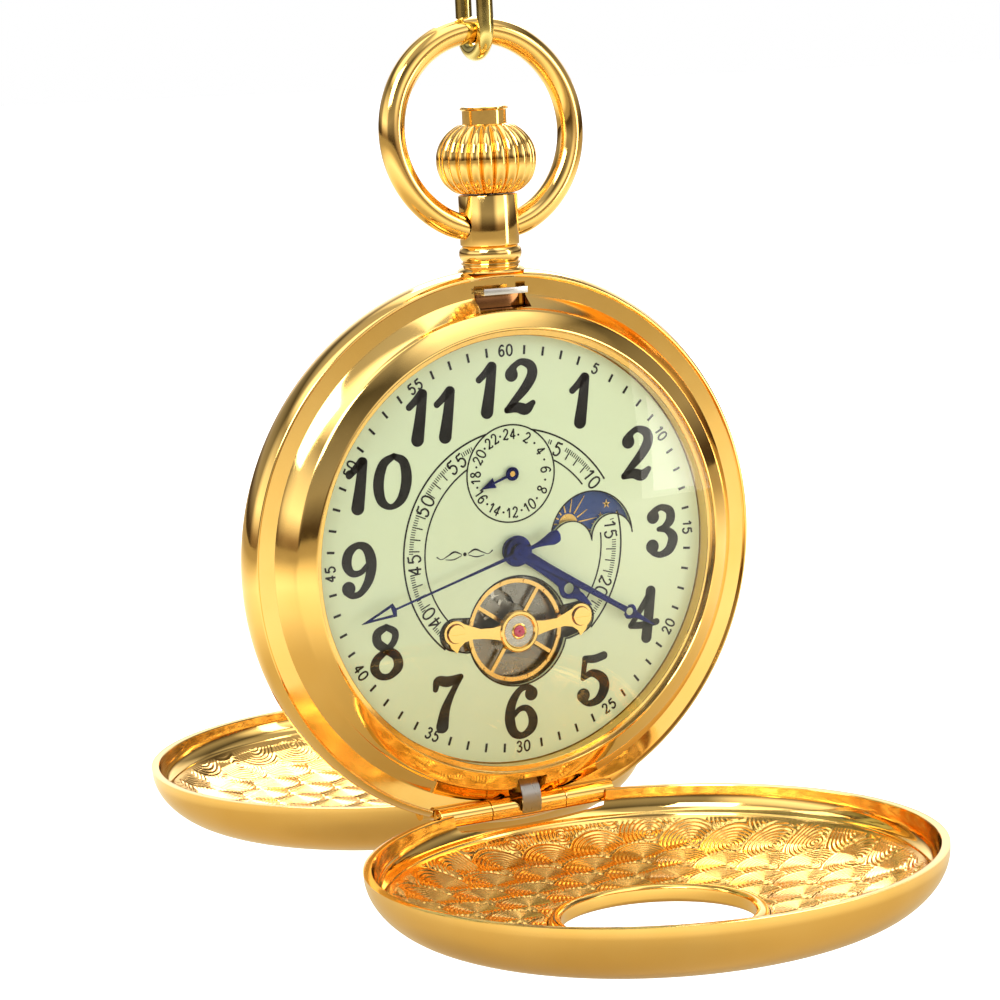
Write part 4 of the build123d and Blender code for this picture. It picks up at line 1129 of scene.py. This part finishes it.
# name, (radius, y) outline, material, segments, x, z, slot
BRIDGE_DETAILS = (
    ("bridge_collar", COLLAR, GOLD, 96, 0, BALANCE_Z, "gold"),
    ("jewel_dome", JEWEL, RUBY, 64, 0, BALANCE_Z, "ruby"),
    ("jewel_setting", SETTING, GOLD, 64, 0, BALANCE_Z, "gold"),
    # the screw grooves are gold; their dark colour is painted shade in the grooves
    ("screw_groove_l", GROOVE, RECESS_SHADE, 64, -SCREW_X, SCREW_Z, "gold"),
    ("screw_groove_r", GROOVE, RECESS_SHADE, 64, SCREW_X, SCREW_Z, "gold"))
for name, outline, material, segments, x, z, slot in BRIDGE_DETAILS:
    ob = turned(name, outline, material, segments=segments)
    ob.data.transform(Matrix.Translation((x * MM, 0, z * MM)))
    put(ob, "case")


# ------------------------------------------------------------------ floor (metres)
# What reflections see of the floor, from below the watch outwards: (distance, colour)
FLOOR_REFLECTED = ((0.0, (0.42, 0.35, 0.22)), (0.10, (0.50, 0.43, 0.29)),
                   (0.17, (0.80, 0.74, 0.58)), (0.30, (0.95, 0.92, 0.82)),
                   (0.5, (0.75, 0.68, 0.52)), (1.0, (0.55, 0.47, 0.33)))


def floor_material():
    """Matt near-white that glows for the camera and shows warm tones to glossy rays."""
    look = Look("floor_matt")
    noise = look.noise(scale=30, detail=4)
    rays = look.add("LightPath").outputs
    by_ray = look.add("Mix", {"Factor": rays["Is Glossy Ray"]}, data_type="RGBA")
    plain = look.blend(noise, ((0.88, 0.88, 0.88), (0.90, 0.90, 0.90)))
    distance = look.add("VectorMath", {0: look.coords}, operation="LENGTH").outputs["Value"]
    feed(by_ray, {"A": plain, "B": colour_ramp(look.tree, distance, FLOOR_REFLECTED)})
    glow = look.add("Math", {0: rays["Is Camera Ray"], 1: 0.62}, operation="MULTIPLY")
    feed(look.surface, {
        "Base Color": by_ray.outputs["Result"], "Roughness": 0.8, "Specular IOR Level": 0.1,
        "Emission Color": (1, 1, 1, 1), "Emission Strength": glow.outputs[0]})
    return look.material


ground = mesh_obj("floor", [(-30, -30, 0), (30, -30, 0), (30, 60, 0), (-30, 60, 0)],
                  [(0, 1, 2, 3)], floor_material(), unit=1)
ground.location.z = -0.060

# ------------------------------------------------------------------ world
# Light tent from straight down (0) to straight up (1): bright overhead, with dark warm bands
# at eye height that give the gold its depth
TENT = ((0.0, (0.30, 0.23, 0.14)), (0.40, (0.42, 0.33, 0.22)), (0.49, (0.07, 0.05, 0.03)),
        (0.53, (0.16, 0.12, 0.09)), (0.60, (0.75, 0.73, 0.70)), (0.70, (0.50, 0.49, 0.47)),
        (0.80, (0.16, 0.15, 0.13)), (0.88, (0.9, 0.9, 0.9)), (1.0, (1.1, 1.1, 1.1)))
TENT_STRIPS = 3.0             # bright upright strips round the tent


def make_world():
    world = bpy.data.worlds.new("studio")
    bpy.context.scene.world = world
    world.use_nodes = True
    tree = world.node_tree
    direction = add_node(tree, "TexCoord").outputs["Generated"]
    axes = add_node(tree, "SeparateXYZ", {0: direction}).outputs
    tent = colour_ramp(tree, remap(tree, axes["Z"], low=0.0, high=1.0, start=-1, end=1), TENT)
    heading = add_node(tree, "Math", {0: axes["X"], 1: axes["Y"]}, operation="ARCTAN2")
    turns = add_node(tree, "Math", {0: heading.outputs[0], 1: TENT_STRIPS},
                     operation="MULTIPLY")
    wave = add_node(tree, "Math", {0: turns.outputs[0]}, operation="SINE")
    strength = remap(tree, wave.outputs[0], low=0.55, high=2.3, start=-0.35, end=0.55)
    tinted = add_node(tree, "VectorMath", {0: tent, "Scale": strength}, operation="SCALE")
    rays = add_node(tree, "LightPath").outputs
    # diffuse rays see an even grey and the camera sees white
    lit = add_node(tree, "Mix", {"Factor": rays["Is Diffuse Ray"],
                                 "A": tinted.outputs["Vector"],
                                 "B": (0.84, 0.84, 0.84, 1)}, data_type="RGBA")
    seen = add_node(tree, "Mix", {"Factor": rays["Is Camera Ray"], "A": lit.outputs["Result"],
                                  "B": (1, 1, 1, 1)}, data_type="RGBA")
    feed(tree.nodes["Background"], {"Color": seen.outputs["Result"], "Strength": 1.0})


make_world()


# ------------------------------------------------------------------ lights and camera (metres)
def area_light(name, place, size, size_y, power, colour=(1, 1, 1)):
    """Rectangular light aimed at the origin."""
    light = bpy.data.lights.new(name, "AREA")
    light.energy = power
    light.color = colour
    light.shape = "RECTANGLE"
    light.size = size
    light.size_y = size_y
    ob = add_object(name, light)
    ob.location = place
    ob.rotation_euler = (-Vector(place)).to_track_quat("-Z", "Y").to_euler()


area_light("key", place=(-0.42, -0.30, 0.42), size=0.30, size_y=0.30, power=2.6)
area_light("fill", place=(0.42, -0.40, 0.12), size=0.12, size_y=0.5, power=0.9,
           colour=(1.0, 0.97, 0.92))
area_light("rim", place=(0.25, 0.42, 0.40), size=0.3, size_y=0.3, power=2.0)

CAMERA_PLACE = (-0.110905, -0.220687, 0.042236)
# columns are the camera's right, up and backward directions
CAMERA_TURN = ((0.8897123, 0.1090531, -0.4433050),
               (-0.4542616, 0.1149786, -0.8834174),
               (-0.0453689, 0.9873638, 0.1518365))
lens = bpy.data.cameras.new("camera")
lens.lens = 100.77
lens.sensor_width = 36
lens.clip_start = 0.01
lens.clip_end = 20
camera_matrix = Matrix(CAMERA_TURN).to_4x4()
camera_matrix.translation = Vector(CAMERA_PLACE)
camera = add_object("camera", lens)
camera.matrix_world = camera_matrix
bpy.context.scene.camera = camera
# guards against a colour configuration that has no Standard view
try:
    bpy.context.scene.view_settings.view_transform = "Standard"
except TypeError:
    pass
